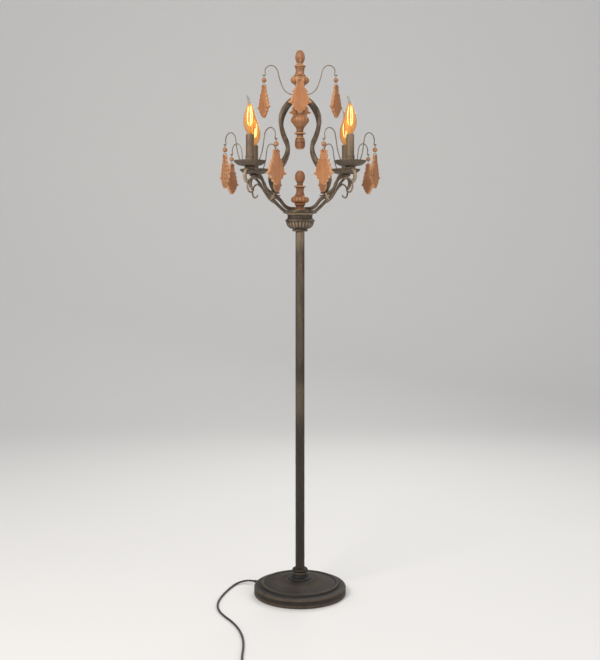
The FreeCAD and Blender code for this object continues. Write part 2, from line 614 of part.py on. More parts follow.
def both_sides(half_outline):
    """Closes a half outline with its mirror image."""
    back = []
    for index in range(len(half_outline) - 1, 0, -1):
        step, before = half_outline[index], half_outline[index - 1]
        goal = (-before[-2], before[-1])
        back.append(goal if len(step) == 2 else (-step[0], step[1]) + goal)
    last = half_outline[-1]
    first = half_outline[0]
    return list(half_outline) + [(-last[-2], last[-1])] + back + [(first[0], first[1])]


def drop_plate(half_outline, thickness):
    level = DROP_HOLE_DEPTH
    edges = section_edges(both_sides(half_outline), lambda w, depth: Vector(-thickness / 2, w, level - depth))
    return Part.Face(Part.Wire(edges)).extrude(Vector(thickness, 0, 0))


def carved_drop():
    """Scalloped wooden drop with raised panels, its hole's axis at the origin along X."""
    plate = drop_plate(DROP_HALF_OUTLINE, DROP_EDGE_THICKNESS)
    panel = drop_plate(DROP_PANEL_OUTLINE, DROP_PANEL_THICKNESS)
    hole = Part.makeCylinder(DROP_HOLE_RADIUS, DROP_EDGE_THICKNESS,
                             Vector(-DROP_EDGE_THICKNESS / 2, 0, 0), Vector(1, 0, 0))
    return plate.cut(hole).fuse(panel)


# Each hanging place: name, centre of its wire's axis, azimuth of the wire, azimuth the face looks to.
RIGHT_BACK, LEFT_BACK, LEFT_FRONT, RIGHT_FRONT = CANDLES
HANGERS = [
    ("crown_right", (0.0, 0.0), 0.0, -24.0),
    ("crown_back", (0.0, 0.0), 90.0, 90.0),
    ("crown_left", (0.0, 0.0), 180.0, -156.0),
    ("crown_front", (0.0, 0.0), 270.0, -90.0),
    ("front_left_outer", LEFT_FRONT, 135.0, -162.0),
    ("front_left_inner", LEFT_FRONT, 315.0, -45.0),
    ("front_right_outer", RIGHT_FRONT, 45.0, -18.0),
    ("front_right_inner", RIGHT_FRONT, 225.0, -135.0),
    ("back_left_outer", LEFT_BACK, 135.0, -32.0),
    ("back_left_inner", LEFT_BACK, 52.0, -25.0),
    ("back_right_outer", RIGHT_BACK, 45.0, -148.0),
    ("back_right_inner", RIGHT_BACK, 128.0, -155.0),
]
LINK_DEPTH = BEAD_DEPTH + RING_DEPTH + RING_RADIUS      # hook wire to the carved drop's hole


def hang(shape, point, azimuth, depth=0.0):
    placed = shape.copy()
    placed.rotate(ORIGIN, UP, azimuth)
    placed.translate(Vector(point[0], point[1], point[2] - depth))
    return placed


# ---- cord --------------------------------------------------------------------------------------------
RELIEF_ROOT_RADIUS = 5.5
RELIEF_END_RADIUS = 3.6
FLOOR_LEVEL = CORD_RADIUS + 0.05
COIL_CENTRE = (-92.0, -562.0)
COIL_LAYER = COIL_PITCH
COIL_START_RUN = 12.0
COIL_END_RUN = 26.0


def coil_point(angle):
    """Place and direction on the coil: in for half the turns, a half turn's climb, then out again."""
    total = 2 * math.pi * COIL_TURNS
    middle = total / 2
    rate = COIL_PITCH / (2 * math.pi)
    inward = angle < middle
    radius = COIL_RADIUS - rate * (angle if inward else total - angle)
    slope = -rate if inward else rate
    if abs(angle - middle) < 1e-6:
        slope = 0.0
    climb = min(max((angle - middle) / math.pi + 0.5, 0.0), 1.0)
    height = FLOOR_LEVEL + COIL_LAYER * (1 - math.cos(math.pi * climb)) / 2
    rise = COIL_LAYER * math.sin(math.pi * climb) / 2 if 0 < climb < 1 else 0.0
    polar = math.pi + angle
    place = Vector(COIL_CENTRE[0] + radius * math.cos(polar), COIL_CENTRE[1] + radius * math.sin(polar), height)
    heading = Vector(slope * math.cos(polar) - radius * math.sin(polar),
                     slope * math.sin(polar) + radius * math.cos(polar), rise)
    return place, heading.normalize()


def arc_from_tangent(start, tangent, end):
    """The arc that leaves start along tangent and reaches end."""
    chord = end - start
    along = Vector(chord).normalize()
    bisector = (along + tangent).normalize()
    reach = chord.Length / 2 / bisector.dot(along)
    return Part.Arc(start, start + bisector * reach, end).toShape()


def biarc(start, start_heading, end, end_heading):
    """Two arcs that join start to end and keep both headings."""
    span = end - start
    both = start_heading + end_heading
    lean = 2 * (1 - start_heading.dot(end_heading))
    if lean < 1e-9:
        handle = span.Length / 4
    else:
        across = span.dot(both)
        handle = (-across + math.sqrt(across ** 2 + lean * span.dot(span))) / lean
    joint = (start + start_heading * handle + end - end_heading * handle) * 0.5
    back = arc_from_tangent(end, end_heading * -1, joint)
    first = arc_from_tangent(start, start_heading, joint)
    middle = back.valueAt((back.FirstParameter + back.LastParameter) / 2)
    return [first, Part.Arc(joint, middle, end).toShape()]


def coil_edges():
    quarter = math.pi / 2
    first_place, first_heading = coil_point(0.0)
    last_place, last_heading = coil_point(2 * math.pi * COIL_TURNS)
    edges = [Part.LineSegment(first_place - first_heading * COIL_START_RUN, first_place).toShape()]
    for index in range(4 * COIL_TURNS):
        place, heading = coil_point(index * quarter)
        next_place, next_heading = coil_point((index + 1) * quarter)
        edges += biarc(place, heading, next_place, next_heading)
    edges.append(Part.LineSegment(last_place, last_place + last_heading * COIL_END_RUN).toShape())
    return edges


def coil_gap():
    """Least room between neighbouring turns, measured on points a twelfth of a turn apart."""
    steps = 12 * COIL_TURNS * 4
    points = [coil_point(2 * math.pi * COIL_TURNS * i / steps)[0] for i in range(steps + 1)]
    apart = steps // COIL_TURNS // 2
    least = min((points[i] - points[j]).Length
                for i in range(len(points)) for j in range(i + apart, len(points)))
    return least - 2 * CORD_RADIUS


def cord_route():
    """Corner points of the laid stretch, from the strain relief's end to the coil."""
    out = Vector(*around(1.0, CORD_AZIMUTH), 0)
    exit_point = out * (BASE_RADIUS + RELIEF_LENGTH) + Vector(0, 0, CORD_EXIT_HEIGHT)
    first_place, first_heading = coil_point(0.0)
    coil_entry = first_place - first_heading * COIL_START_RUN
    laid = [(-164.0, 83.4), (-182.5, 71.4), (-195.0, 44.0), (-208.0, 2.0), (-219.5, -46.0), (-224.0, -94.0),
            (-217.0, -142.0), (-198.0, -184.0), (-174.0, -224.0), (-153.0, -276.0), (-140.0, -334.0),
            (-136.0, -390.0), (-137.0, -446.0)]
    heights = [6.4, FLOOR_LEVEL + 1.0] + [FLOOR_LEVEL] * (len(laid) - 2)
    points = [exit_point, exit_point + out * CORD_FIRST_RUN]
    points += [Vector(x, y, height) for (x, y), height in zip(laid, heights)]
    points += [coil_entry - first_heading * 46.0, coil_entry]
    return points


def rounded_route(points):
    """Straight runs joined by tangent arcs of 0.45 of the shorter run; gives the edges and radii."""
    edges, radii = [], []
    here = points[0]
    for before, corner, after in zip(points, points[1:], points[2:]):
        back = before - corner
        ahead = after - corner
        reach = 0.45 * min(back.Length, ahead.Length)
        back.normalize()
        ahead.normalize()
        turn = math.pi - back.getAngle(ahead)
        radius = reach / math.tan(turn / 2)
        start, end = corner + back * reach, corner + ahead * reach
        inside = (back + ahead).normalize()
        middle = corner + inside * (radius / math.cos(turn / 2) - radius)
        edges.append(Part.LineSegment(here, start).toShape())
        edges.append(Part.Arc(start, middle, end).toShape())
        radii.append(round(radius, 1))
        here = end
    edges.append(Part.LineSegment(here, points[-1]).toShape())
    return edges, radii


def strain_relief():
    """Flanged root in the wall and a tapered tail round the cord."""
    root = BASE_RADIUS - BASE_WALL - 1.0
    plug = Part.makeCylinder(RELIEF_ROOT_RADIUS, BASE_RADIUS + 1.0 - root, Vector(root, 0, 0), Vector(1, 0, 0))
    flange = Part.makeCylinder(RELIEF_ROOT_RADIUS + 1.5, 2.0, Vector(BASE_RADIUS + 0.1, 0, 0), Vector(1, 0, 0))
    tail = Part.makeCone(RELIEF_ROOT_RADIUS, RELIEF_END_RADIUS, RELIEF_LENGTH - 1.0,
                         Vector(BASE_RADIUS + 1.0, 0, 0), Vector(1, 0, 0))
    relief = plug.multiFuse([flange, tail])
    relief.translate(Vector(0, 0, CORD_EXIT_HEIGHT))
    return turn_to(relief, CORD_AZIMUTH)


def plug_parts():
    """Two-blade plug at the end of the coil, lying on the floor."""
    last_place, heading = coil_point(2 * math.pi * COIL_TURNS)
    start = last_place + heading * COIL_END_RUN
    neck = Part.makeCone(CORD_RADIUS + 1.6, PLUG_RADIUS * 0.8, 12.0, start, heading)
    body = Part.makeCylinder(PLUG_RADIUS, 26.0, start + heading * 12.0, heading)
    blades = []
    side = Vector(-heading.y, heading.x, 0)
    for sign in (-1, 1):
        blade = Part.makeBox(17.0, 1.5, 6.3, Vector(0, -0.75, -3.15))
        blade.rotate(ORIGIN, UP, math.degrees(math.atan2(heading.y, heading.x)))
        blade.translate(start + heading * 38.0 + side * (6.35 * sign))
        blades.append(blade)
    return neck.fuse(body), blades


# ---- writing the nodes ------------------------------------------------------------------------------
def main():
    save("base_felt", [base_felt()])
    save("base_weight", [base_weight()])
    save("base_casting", [base_casting()])
    save("base_collar", [base_collar()])
    save("lower_pole", [lower_pole()])
    save("upper_pole", [upper_pole()])
    save("threaded_hardware", threaded_hardware())
    save("bowl_cup", [bowl_cup()])
    save("bowl_rim", [bowl_rim()])
    save("lower_finial", [lower_finial()])
    save("lyre_hub", [lyre_hub()])
    save("lower_spindle", [lower_spindle()])
    save("column_drop", [column_drop()])
    save("upper_spindle", [upper_spindle()])
    save("crown_finial", [crown_finial()])

    arm = candle_arm()
    for index, azimuth in enumerate(ARM_AZIMUTHS):
        save("candle_arm_%d" % (index + 1), [turn_to(arm, azimuth)])
    lyre = lyre_rod()
    save("lyre_rods", [turn_to(lyre, azimuth) for azimuth in ARM_AZIMUTHS])

    main_edges, _, _ = arm_rod_edges()
    arm_room = rod(main_edges, ARM_ROD_RADIUS + SEAT_GAP)
    arm_room.translate(Vector(-CANDLE_RADIUS, 0, 0))
    cup = candle_cup().cut(arm_room)
    save("candle_cups", [turn_to(cup, azimuth, candle) for azimuth, candle in zip(ARM_AZIMUTHS, CANDLES)])
    for name, piece in (("drip_pans", drip_pan()), ("sleeve_holders", sleeve_holder()),
                        ("candle_sleeves", candle_sleeve()), ("lamp_sockets", lamp_socket())):
        save(name, [turn_to(piece, 0, candle) for candle in CANDLES])
    for index, candle in enumerate(CANDLES):
        save("bulb_%d" % (index + 1), [turn_to(piece, 0, candle) for piece in bulb()])

    wire_for_crown, crown_hang = crown_wire()
    wire_for_pan, pan_hang = pan_wire()
    crown_wires, pan_wires = [], []
    for name, centre, azimuth, face in HANGERS:
        on_crown = name.startswith("crown")
        wire, place = (wire_for_crown, crown_hang) if on_crown else (wire_for_pan, pan_hang)
        (crown_wires if on_crown else pan_wires).append(turn_to(wire, azimuth, centre))
        reach_x, reach_y = around(place[0], azimuth)
        point = (centre[0] + reach_x, centre[1] + reach_y, place[1])
        link = [hang(piece, point, azimuth) for piece in drop_link(face - azimuth)]
        save("link_" + name, link)
        save("drop_" + name, [hang(carved_drop(), point, face, LINK_DEPTH)])
        print("hanger", name, [round(value, 3) for value in point], azimuth, face)
    save("crown_wires", crown_wires)
    save("pan_wires", pan_wires)

    save("strain_relief", [strain_relief()])
    edges, radii = rounded_route(cord_route())
    lead = rod(edges, CORD_RADIUS, CORD_SIDES)
    save("cord_lead", [lead])
    coil = rod(coil_edges(), CORD_RADIUS, CORD_SIDES)
    save("cord_coil", [coil])
    plug_body, blades = plug_parts()
    save("plug_body", [plug_body])
    save("plug_blades", blades)
    lead_length = Part.Wire(edges).Length
    coil_length = Part.Wire(coil_edges()).Length
    area = CORD_SIDES / 2.0 * CORD_RADIUS ** 2 * math.sin(2 * math.pi / CORD_SIDES)
    print("levels", '{"pan_floor": %.3f, "pan_rim": %.3f, "link_depth": %.3f}'
          % (PAN_FLOOR, PAN_BOTTOM + PAN_DEPTH, LINK_DEPTH))
    print("cord radii", radii)
    print("cord length", round(lead_length + coil_length, 1), "lead", round(lead_length, 1))
    print("lead volume ratio", round(lead.Volume / (area * lead_length), 4))
    print("coil volume ratio", round(coil.Volume / (area * coil_length), 4))
    print("coil gap", round(coil_gap(), 2))


main()
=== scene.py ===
"""Looks of a candlestick floor lamp: forged arms, a lyre cage, turned wood and carved drops on wires."""

import logging
import math
from dataclasses import dataclass, field
from enum import Enum
from typing import Callable, Sequence

import bmesh
import bpy
import numpy as np
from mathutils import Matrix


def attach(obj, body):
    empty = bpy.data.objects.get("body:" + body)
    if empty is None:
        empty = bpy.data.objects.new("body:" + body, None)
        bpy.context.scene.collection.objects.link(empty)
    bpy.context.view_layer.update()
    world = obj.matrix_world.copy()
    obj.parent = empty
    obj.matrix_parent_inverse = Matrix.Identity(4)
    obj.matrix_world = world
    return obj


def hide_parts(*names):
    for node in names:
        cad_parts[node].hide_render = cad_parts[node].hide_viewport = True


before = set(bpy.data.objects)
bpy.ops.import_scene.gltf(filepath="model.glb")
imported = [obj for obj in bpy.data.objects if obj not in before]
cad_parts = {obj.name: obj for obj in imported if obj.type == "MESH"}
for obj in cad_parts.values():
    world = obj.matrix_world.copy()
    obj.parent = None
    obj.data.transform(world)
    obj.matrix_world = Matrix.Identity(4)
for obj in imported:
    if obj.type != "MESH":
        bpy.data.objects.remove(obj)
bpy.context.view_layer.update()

LOG = logging.getLogger("lamp")
MM = 0.001
Outline = Sequence[tuple[float, ...]]
Relief = Callable[[np.ndarray, np.ndarray], np.ndarray]
Triple = tuple[float, float, float]
ACROSS = np.array([0.0, 1.0, 0.0])      # normal of the XZ plane, in which rods and wires are drawn

# Heights and places, in millimetres, as the solids have them.
BASE_TOP = 62.0
POLE_BOTTOM = 41.0
POLE_JOINT = 541.0
POLE_TOP = 1013.0
BOWL_TOP = 1062.0
RIM_TOP = 1072.5
HUB_BOTTOM = 1374.0
HUB_TOP = 1398.0
ARM_CREST = RIM_TOP + 104.5
CUP_BOTTOM = ARM_CREST - 1.0
PAN_BOTTOM = CUP_BOTTOM + 9.0
PAN_FLOOR = PAN_BOTTOM + 1.5
SLEEVE_BOTTOM = PAN_FLOOR + 2.7
SLEEVE_TOP = SLEEVE_BOTTOM + 79.6
SOCKET_TOP = SLEEVE_TOP - 2.0
CANDLE_RADIUS = 189.0
POLE_RADIUS = 12.7
BASE_RADIUS = 128.0
STEM_BORE = 5.1         # round the threaded pipes
COLUMN_BORE = 3.1       # round the column's rod
ARM_AZIMUTHS = (45.0, 135.0, 225.0, 315.0)


# ---- shader bench -----------------------------------------------------------------------------
class Signal:
    """A value that runs through a material: a node's output, or a number."""

    def __init__(self, bench: "Bench", value: "bpy.types.NodeSocket | float") -> None:
        """Keeps an output socket or a plain number, and the bench that adds nodes for it."""
        self.bench = bench
        self.value = value

    def _math(self, operation: str, *others: "Signal | float", flip: bool = False) -> "Signal":
        """Adds one Math node on this value and the others.

        Args:
            operation: the Math node's operation.
            others: further operands.
            flip: whether this value comes second.

        Returns:
            The node's result.
        """
        terms = [self, *others]
        if flip:
            terms.reverse()
        return self.bench.node("ShaderNodeMath", {"operation": operation}, dict(enumerate(terms)))

    def __add__(self, other: "Signal | float") -> "Signal":
        """Sum."""
        return self._math("ADD", other)

    __radd__ = __add__

    def __mul__(self, other: "Signal | float") -> "Signal":
        """Product."""
        return self._math("MULTIPLY", other)

    __rmul__ = __mul__

    def __sub__(self, other: "Signal | float") -> "Signal":
        """Difference."""
        return self._math("SUBTRACT", other)

    def __rsub__(self, other: "Signal | float") -> "Signal":
        """Difference the other way round."""
        return self._math("SUBTRACT", other, flip=True)

    def at_least(self, other: "Signal | float") -> "Signal":
        """The larger of the two."""
        return self._math("MAXIMUM", other)

    def ramp(self, low: float, high: float) -> "Signal":
        """The smooth share, clamped, between low, which gives 0, and high, which gives 1."""
        settings = {"interpolation_type": "SMOOTHSTEP"}
        return self.bench.node("ShaderNodeMapRange", settings, {0: self, 1: low, 2: high, 3: 0.0, 4: 1.0})


class Bench:
    """Builds one material's nodes."""

    def __init__(self, name: str) -> None:
        """Makes an empty node material.

        Args:
            name: the material's name.
        """
        self.material = bpy.data.materials.new(name)
        self.material.use_nodes = True
        self.tree = self.material.node_tree
        self.tree.nodes.clear()
        self.out = self.tree.nodes.new("ShaderNodeOutputMaterial")
        self.place = self.node("ShaderNodeTexCoord", output="Object")

    def node(self, kind: str, settings: dict | None = None, inputs: dict | None = None,
             output: "str | int" = 0) -> Signal:
        """Adds a node.

        Args:
            kind: the node's type.
            settings: attributes that are set before its sockets.
            inputs: values or signals by socket name or number.
            output: which output to hand back.

        Returns:
            The chosen output.
        """
        made = self.tree.nodes.new(kind)
        for key, value in (settings or {}).items():
            if key == "stops":
                ramp = made.color_ramp
                while len(ramp.elements) < len(value):
                    ramp.elements.new(0.5)
                for element, (position, colour) in zip(ramp.elements, value):
                    element.position = position
                    element.color = (*colour, 1.0)
            else:
                setattr(made, key, value)
        for key, value in (inputs or {}).items():
            socket = made.inputs[key]
            if isinstance(value, Signal):
                value = value.value
            if isinstance(value, bpy.types.NodeSocket):
                self.tree.links.new(value, socket)
            elif isinstance(value, tuple) and len(value) == 3 and socket.type == "RGBA":
                socket.default_value = (*value, 1.0)
            else:
                socket.default_value = value
        return Signal(self, made.outputs[output])

    def stretched(self, scale: Triple) -> Signal:
        """Object coordinates times factors along X, Y and Z."""
        return self.node("ShaderNodeMapping", None, {"Vector": self.place, "Scale": scale})

    def noise(self, scale: float, detail: float = 4.0, rough: float = 0.55,
              where: Signal | None = None) -> Signal:
        """Fractal noise of about 0 to 1, by features per metre, octaves and weight of the finer ones."""
        inputs = {"Vector": where or self.place, "Scale": scale, "Detail": detail, "Roughness": rough}
        return self.node("ShaderNodeTexNoise", None, inputs, "Fac")

    def mix(self, factor: "Signal | float", first: "Signal | tuple", second: "Signal | tuple") -> Signal:
        """Mixes two colours by the share of the second."""
        return self.node("ShaderNodeMix", {"data_type": "RGBA"}, {0: factor, 6: first, 7: second}, 2)

    def raised(self) -> Signal:
        """How far a point stands above its surroundings, in millimetres."""
        return self.node("ShaderNodeAttribute", {"attribute_name": "relief"}, output="Fac")

    def bump(self, height: Signal, distance: float, strength: float = 1.0) -> Signal:
        """Bump normal from a height whose 1 stands for a distance in metres."""
        return self.node("ShaderNodeBump", None, {"Height": height, "Distance": distance, "Strength": strength})

    def finish(self, **sockets: "Signal | float | tuple") -> bpy.types.Material:
        """Ends the material in a principled shader, whose sockets are named with underscores for blanks."""
        inputs = {key.replace("_", " "): value for key, value in sockets.items()}
        return self.close(self.node("ShaderNodeBsdfPrincipled", None, inputs))

    def close(self, shader: Signal) -> bpy.types.Material:
        """Ends the material in any surface shader."""
        self.tree.links.new(shader.value, self.out.inputs["Surface"])
        return self.material


def srgb(red: int, green: int, blue: int) -> Triple:
    """Linear colour of an 8-bit display colour."""
    def linear(value: int) -> float:
        """One channel by the display curve."""
        share = value / 255.0
        return share / 12.92 if share <= 0.04045 else ((share + 0.055) / 1.055) ** 2.4
    return linear(red), linear(green), linear(blue)


# ---- finishes ---------------------------------------------------------------------------------
@dataclass(frozen=True)
class AgedBronze:
    """Grey-brown painted iron, rubbed pale on its edges and dark in its hollows; where set, painted shade darkens
    it towards the floor.
    """

    name: str = "aged_bronze"
    ground: Triple = srgb(104, 88, 71)
    shade: Triple = srgb(58, 46, 36)
    rubbed: Triple = srgb(158, 138, 114)
    pit_and_painted_shade: Triple = srgb(34, 27, 21)
    # share of painted shade that darkens the piece towards the floor
    foot_painted_shade: float = 0.0
    grain: Triple = (1.0, 1.0, 1.0)
    rub_amount: float = 0.75
    roughness: float = 0.52
    cloud_scale: float = 38.0
    fleck_scale: float = 420.0
    scuff_scale: float = 150.0
    bump_depth: float = 0.0007

    def material(self) -> bpy.types.Material:
        """Makes the material.

        Returns:
            The material.
        """
        bench = Bench(self.name)
        where = bench.stretched(self.grain)
        cloud = bench.noise(self.cloud_scale, 5.0, 0.6, where)
        fleck = bench.noise(self.fleck_scale, 3.0, 0.65, where)
        scuff = bench.noise(self.scuff_scale, 6.0, 0.7, bench.stretched((1.0, 1.0, 0.22)))
        colour = bench.mix(cloud.ramp(0.36, 0.66) * 0.85, self.shade, self.ground)
        colour = bench.mix(fleck.ramp(0.52, 0.72) * 0.35, colour, self.rubbed)
        raised = bench.raised()
        rub = raised.ramp(0.03, 0.3) * scuff.ramp(0.25, 0.55) * self.rub_amount
        colour = bench.mix(rub.at_least(scuff.ramp(0.6, 0.74) * 0.4), colour, self.rubbed)
        colour = bench.mix((1.0 - raised.ramp(-0.35, -0.03)) * 0.85, colour, self.pit_and_painted_shade)
        # Painted shade: the colour darkens towards the floor, fully below 0.2 m and fading out by 1.2 m.
        if self.foot_painted_shade:
            height = bench.node("ShaderNodeSeparateXYZ", None, {"Vector": bench.place}, "Z")
            colour = bench.mix((1.0 - height.ramp(0.2, 1.2)) * self.foot_painted_shade, colour, self.pit_and_painted_shade)
        relief = fleck * 0.6 + scuff * 0.4 + cloud * 0.5
        return bench.finish(
            Base_Color=colour, Metallic=0.25, Roughness=(fleck * 0.2 + (self.roughness - 0.08)),
            Normal=bench.bump(relief, self.bump_depth, 0.55))


@dataclass(frozen=True)
class WaxedWood:
    """Orange-tan wood with long grain, dark pores, worn pale edges and dark wax in its hollows."""

    name: str = "waxed_wood"
    ground: Triple = srgb(152, 96, 55)
    dark: Triple = srgb(124, 75, 41)
    pale: Triple = srgb(200, 146, 98)
    wax: Triple = srgb(66, 38, 20)
    roughness: float = 0.5
    edge_wear: float = 0.7
    figure_scale: float = 95.0
    fibre_scale: float = 620.0
    pore_scale: float = 1500.0
    patch_scale: float = 30.0
    bump_depth: float = 0.0004

    def material(self) -> bpy.types.Material:
        """Makes the material.

        Returns:
            The material.
        """
        bench = Bench(self.name)
        along = bench.stretched((1.0, 1.0, 0.09))
        figure = bench.noise(self.figure_scale, 4.0, 0.6, along)
        fibre = bench.noise(self.fibre_scale, 3.0, 0.7, bench.stretched((1.0, 1.0, 0.05)))
        pores = bench.noise(self.pore_scale, 2.0, 0.6, bench.stretched((1.0, 1.0, 0.08)))
        patch = bench.noise(self.patch_scale, 3.0, 0.5)
        colour = bench.mix(figure.ramp(0.35, 0.66), self.dark, self.ground)
        colour = bench.mix(fibre.ramp(0.45, 0.75) * 0.45, colour, self.pale)
        colour = bench.mix(pores.ramp(0.62, 0.74) * 0.5, colour, self.dark)
        colour = bench.mix(patch.ramp(0.45, 0.75) * 0.28, colour, self.pale)
        raised = bench.raised()
        wear = raised.ramp(0.04, 0.4) * self.edge_wear
        colour = bench.mix(wear, colour, self.pale)
        colour = bench.mix((1.0 - raised.ramp(-0.4, -0.02)) * 0.9, colour, self.wax)
        relief = fibre * 0.6 + pores * 0.4
        return bench.finish(
            Base_Color=colour, Roughness=(fibre * 0.18 + (self.roughness - 0.09)), Coat_Weight=0.12,
            Coat_Roughness=0.35, Normal=bench.bump(relief, self.bump_depth, 0.5))


@dataclass(frozen=True)
class AmberGlass:
    """Thin amber glass of a bulb: see-through, darker where it turns away, and clear in its drawn tip."""

    name: str = "amber_glass"
    tint: Triple = (0.84, 0.62, 0.38)
    plain: Triple = (0.86, 0.84, 0.8)
    rim: Triple = (0.42, 0.15, 0.03)
    glow: Triple = (1.0, 0.5, 0.12)
    tip_from: float = SOCKET_TOP + 78.0
    tip_to: float = SOCKET_TOP + 88.0

    def material(self) -> bpy.types.Material:
        """Makes the material.

        Returns:
            The material.
        """
        bench = Bench(self.name)
        facing = bench.node("ShaderNodeLayerWeight", None, {"Blend": 0.5}, "Facing")
        height = bench.node("ShaderNodeSeparateXYZ", None, {"Vector": bench.place}, "Z")
        tip = height.ramp(self.tip_from * MM, self.tip_to * MM)
        amber = bench.node("ShaderNodeBsdfTransparent", None, {"Color": self.tint})
        clear = bench.node("ShaderNodeBsdfTransparent", None, {"Color": self.plain})
        through = bench.node("ShaderNodeMixShader", None, {0: tip, 1: amber, 2: clear})
        body = bench.mix(facing.ramp(0.3, 0.9), (0.9, 0.5, 0.16), self.rim)
        gloss = bench.node("ShaderNodeBsdfPrincipled", None, {
            "Base Color": bench.mix(tip, body, (0.35, 0.34, 0.32)), "Roughness": 0.06, "IOR": 1.5,
            "Emission Color": bench.mix(tip.at_least(facing.ramp(0.15, 0.75)), self.glow, (0.0, 0.0, 0.0)),
            "Emission Strength": 0.35})
        share = facing.ramp(0.25, 1.0) * 0.6 + 0.22
        return bench.close(bench.node("ShaderNodeMixShader", None, {0: share, 1: through, 2: gloss}))


@dataclass(frozen=True)
class Glow:
    """Warm glowing filament, hotter in patches."""

    name: str = "filament_glow"
    colour: Triple = (1.0, 0.66, 0.30)
    hot: Triple = (1.0, 0.84, 0.55)
    strength: float = 5.0

    def material(self) -> bpy.types.Material:
        """Makes the material.

        Returns:
            The material.
        """
        bench = Bench(self.name)
        heat = bench.noise(500.0, 2.0)
        colour = bench.mix(heat.ramp(0.3, 0.7), self.colour, self.hot)
        return bench.finish(Base_Color=(0.9, 0.7, 0.45), Emission_Color=colour, Emission_Strength=self.strength)


@dataclass(frozen=True)
class PlainFinish:
    """A quiet finish with fine mottling, for parts that are small or out of sight."""

    name: str
    colour: Triple
    roughness: float = 0.5
    metallic: float = 0.0
    mottle: float = 0.35
    scale: float = 600.0
    depth: float = 0.0002

    def material(self) -> bpy.types.Material:
        """Makes the material.

        Returns:
            The material.
        """
        bench = Bench(self.name)
        grain = bench.noise(self.scale, 4.0, 0.6)
        deep = tuple(channel * (1.0 - self.mottle) for channel in self.colour)
        colour = bench.mix(grain.ramp(0.3, 0.7), deep, self.colour)
        return bench.finish(Base_Color=colour, Metallic=self.metallic,
                            Roughness=(grain * 0.2 + (self.roughness - 0.1)),
                            Normal=bench.bump(grain, self.depth, 0.5))


class Finish(Enum):
    """Every finish on the lamp."""

    BRONZE = AgedBronze(ground=srgb(116, 99, 80), shade=srgb(64, 52, 41), rubbed=srgb(178, 156, 128))
    # The pole's material: painted shade darkens it towards the floor.
    POLE = AgedBronze(name="aged_bronze_pole", ground=srgb(104, 88, 72), grain=(1.0, 1.0, 0.18), rub_amount=0.5,
                      foot_painted_shade=0.85)
    # The base's material is a darker copy of the bronze, as painted shade.
    BASE = AgedBronze(name="aged_bronze_base", ground=srgb(44, 36, 29), shade=srgb(27, 22, 17),
                      rubbed=srgb(88, 74, 59), pit_and_painted_shade=srgb(16, 13, 10), roughness=0.62)
    # The pans' material is a darker copy of the bronze, as painted shade.
    PAN = AgedBronze(name="aged_bronze_pan", ground=srgb(80, 66, 52), shade=srgb(48, 39, 30), rub_amount=0.22)
    WIRE = AgedBronze(name="aged_bronze_wire", ground=srgb(150, 134, 112), shade=srgb(104, 90, 73),
                      rub_amount=0.4)
    SLEEVE = AgedBronze(name="aged_sleeve", ground=srgb(140, 119, 95), shade=srgb(98, 80, 62),
                        grain=(1.0, 1.0, 0.3), rub_amount=0.35, roughness=0.6)
    WOOD = WaxedWood()
    CARVED = WaxedWood(name="carved_wood", ground=srgb(166, 108, 63), dark=srgb(150, 94, 53), edge_wear=0.85)
    GLASS = AmberGlass()
    FILAMENT = Glow()
    STEEL = PlainFinish("hidden_steel", (0.5, 0.5, 0.49), 0.4, 1.0)
    IRON = PlainFinish("grey_iron", (0.09, 0.09, 0.088), 0.8, 0.0, 0.5, 300.0)
    FELT = PlainFinish("felt", (0.02, 0.02, 0.019), 0.95, 0.0, 0.5, 1500.0, 0.0006)
    BLACK = PlainFinish("socket_black", (0.02, 0.019, 0.018), 0.45)
    CORD = PlainFinish("cord_sheath", (0.022, 0.022, 0.023), 0.42, 0.0, 0.3, 1800.0)
    BRASS = PlainFinish("plug_brass", (0.72, 0.52, 0.22), 0.3, 1.0, 0.2)
    GLASS_BEAD = PlainFinish("stem_glass", (0.75, 0.62, 0.4), 0.15)


class Workshop:
    """Makes each finish once and hands it out."""

    def __init__(self) -> None:
        """Starts with no material made."""
        self.made: dict[Finish, bpy.types.Material] = {}

    def material(self, finish: Finish) -> bpy.types.Material:
        """The one material of a finish."""
        if finish not in self.made:
            self.made[finish] = finish.value.material()
        return self.made[finish]

    def redress(self, node: str, finish: Finish) -> None:
        """Gives a solid that stays a better material."""
        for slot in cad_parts[node].material_slots:
            slot.material = self.material(finish)
        LOG.info("kept %s as %s", node, finish.name)

    def fit(self, piece: bpy.types.Object, finish: Finish, slot: str, *nodes: str,
            body: str = "lamp") -> bpy.types.Object:
        """Dresses a new piece, sets it on its body and lets it stand for solids.

        Args:
            piece: the new piece.
            finish: its finish.
            slot: the record's material slot; not used.
            nodes: solids that it replaces.
            body: the body that it rides on.

        Returns:
            The piece.
        """
        piece.data.materials.append(self.material(finish))
        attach(piece, body)
        if nodes:
            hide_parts(*nodes)
        LOG.info("made %s on %s", piece.name, body)
        return piece


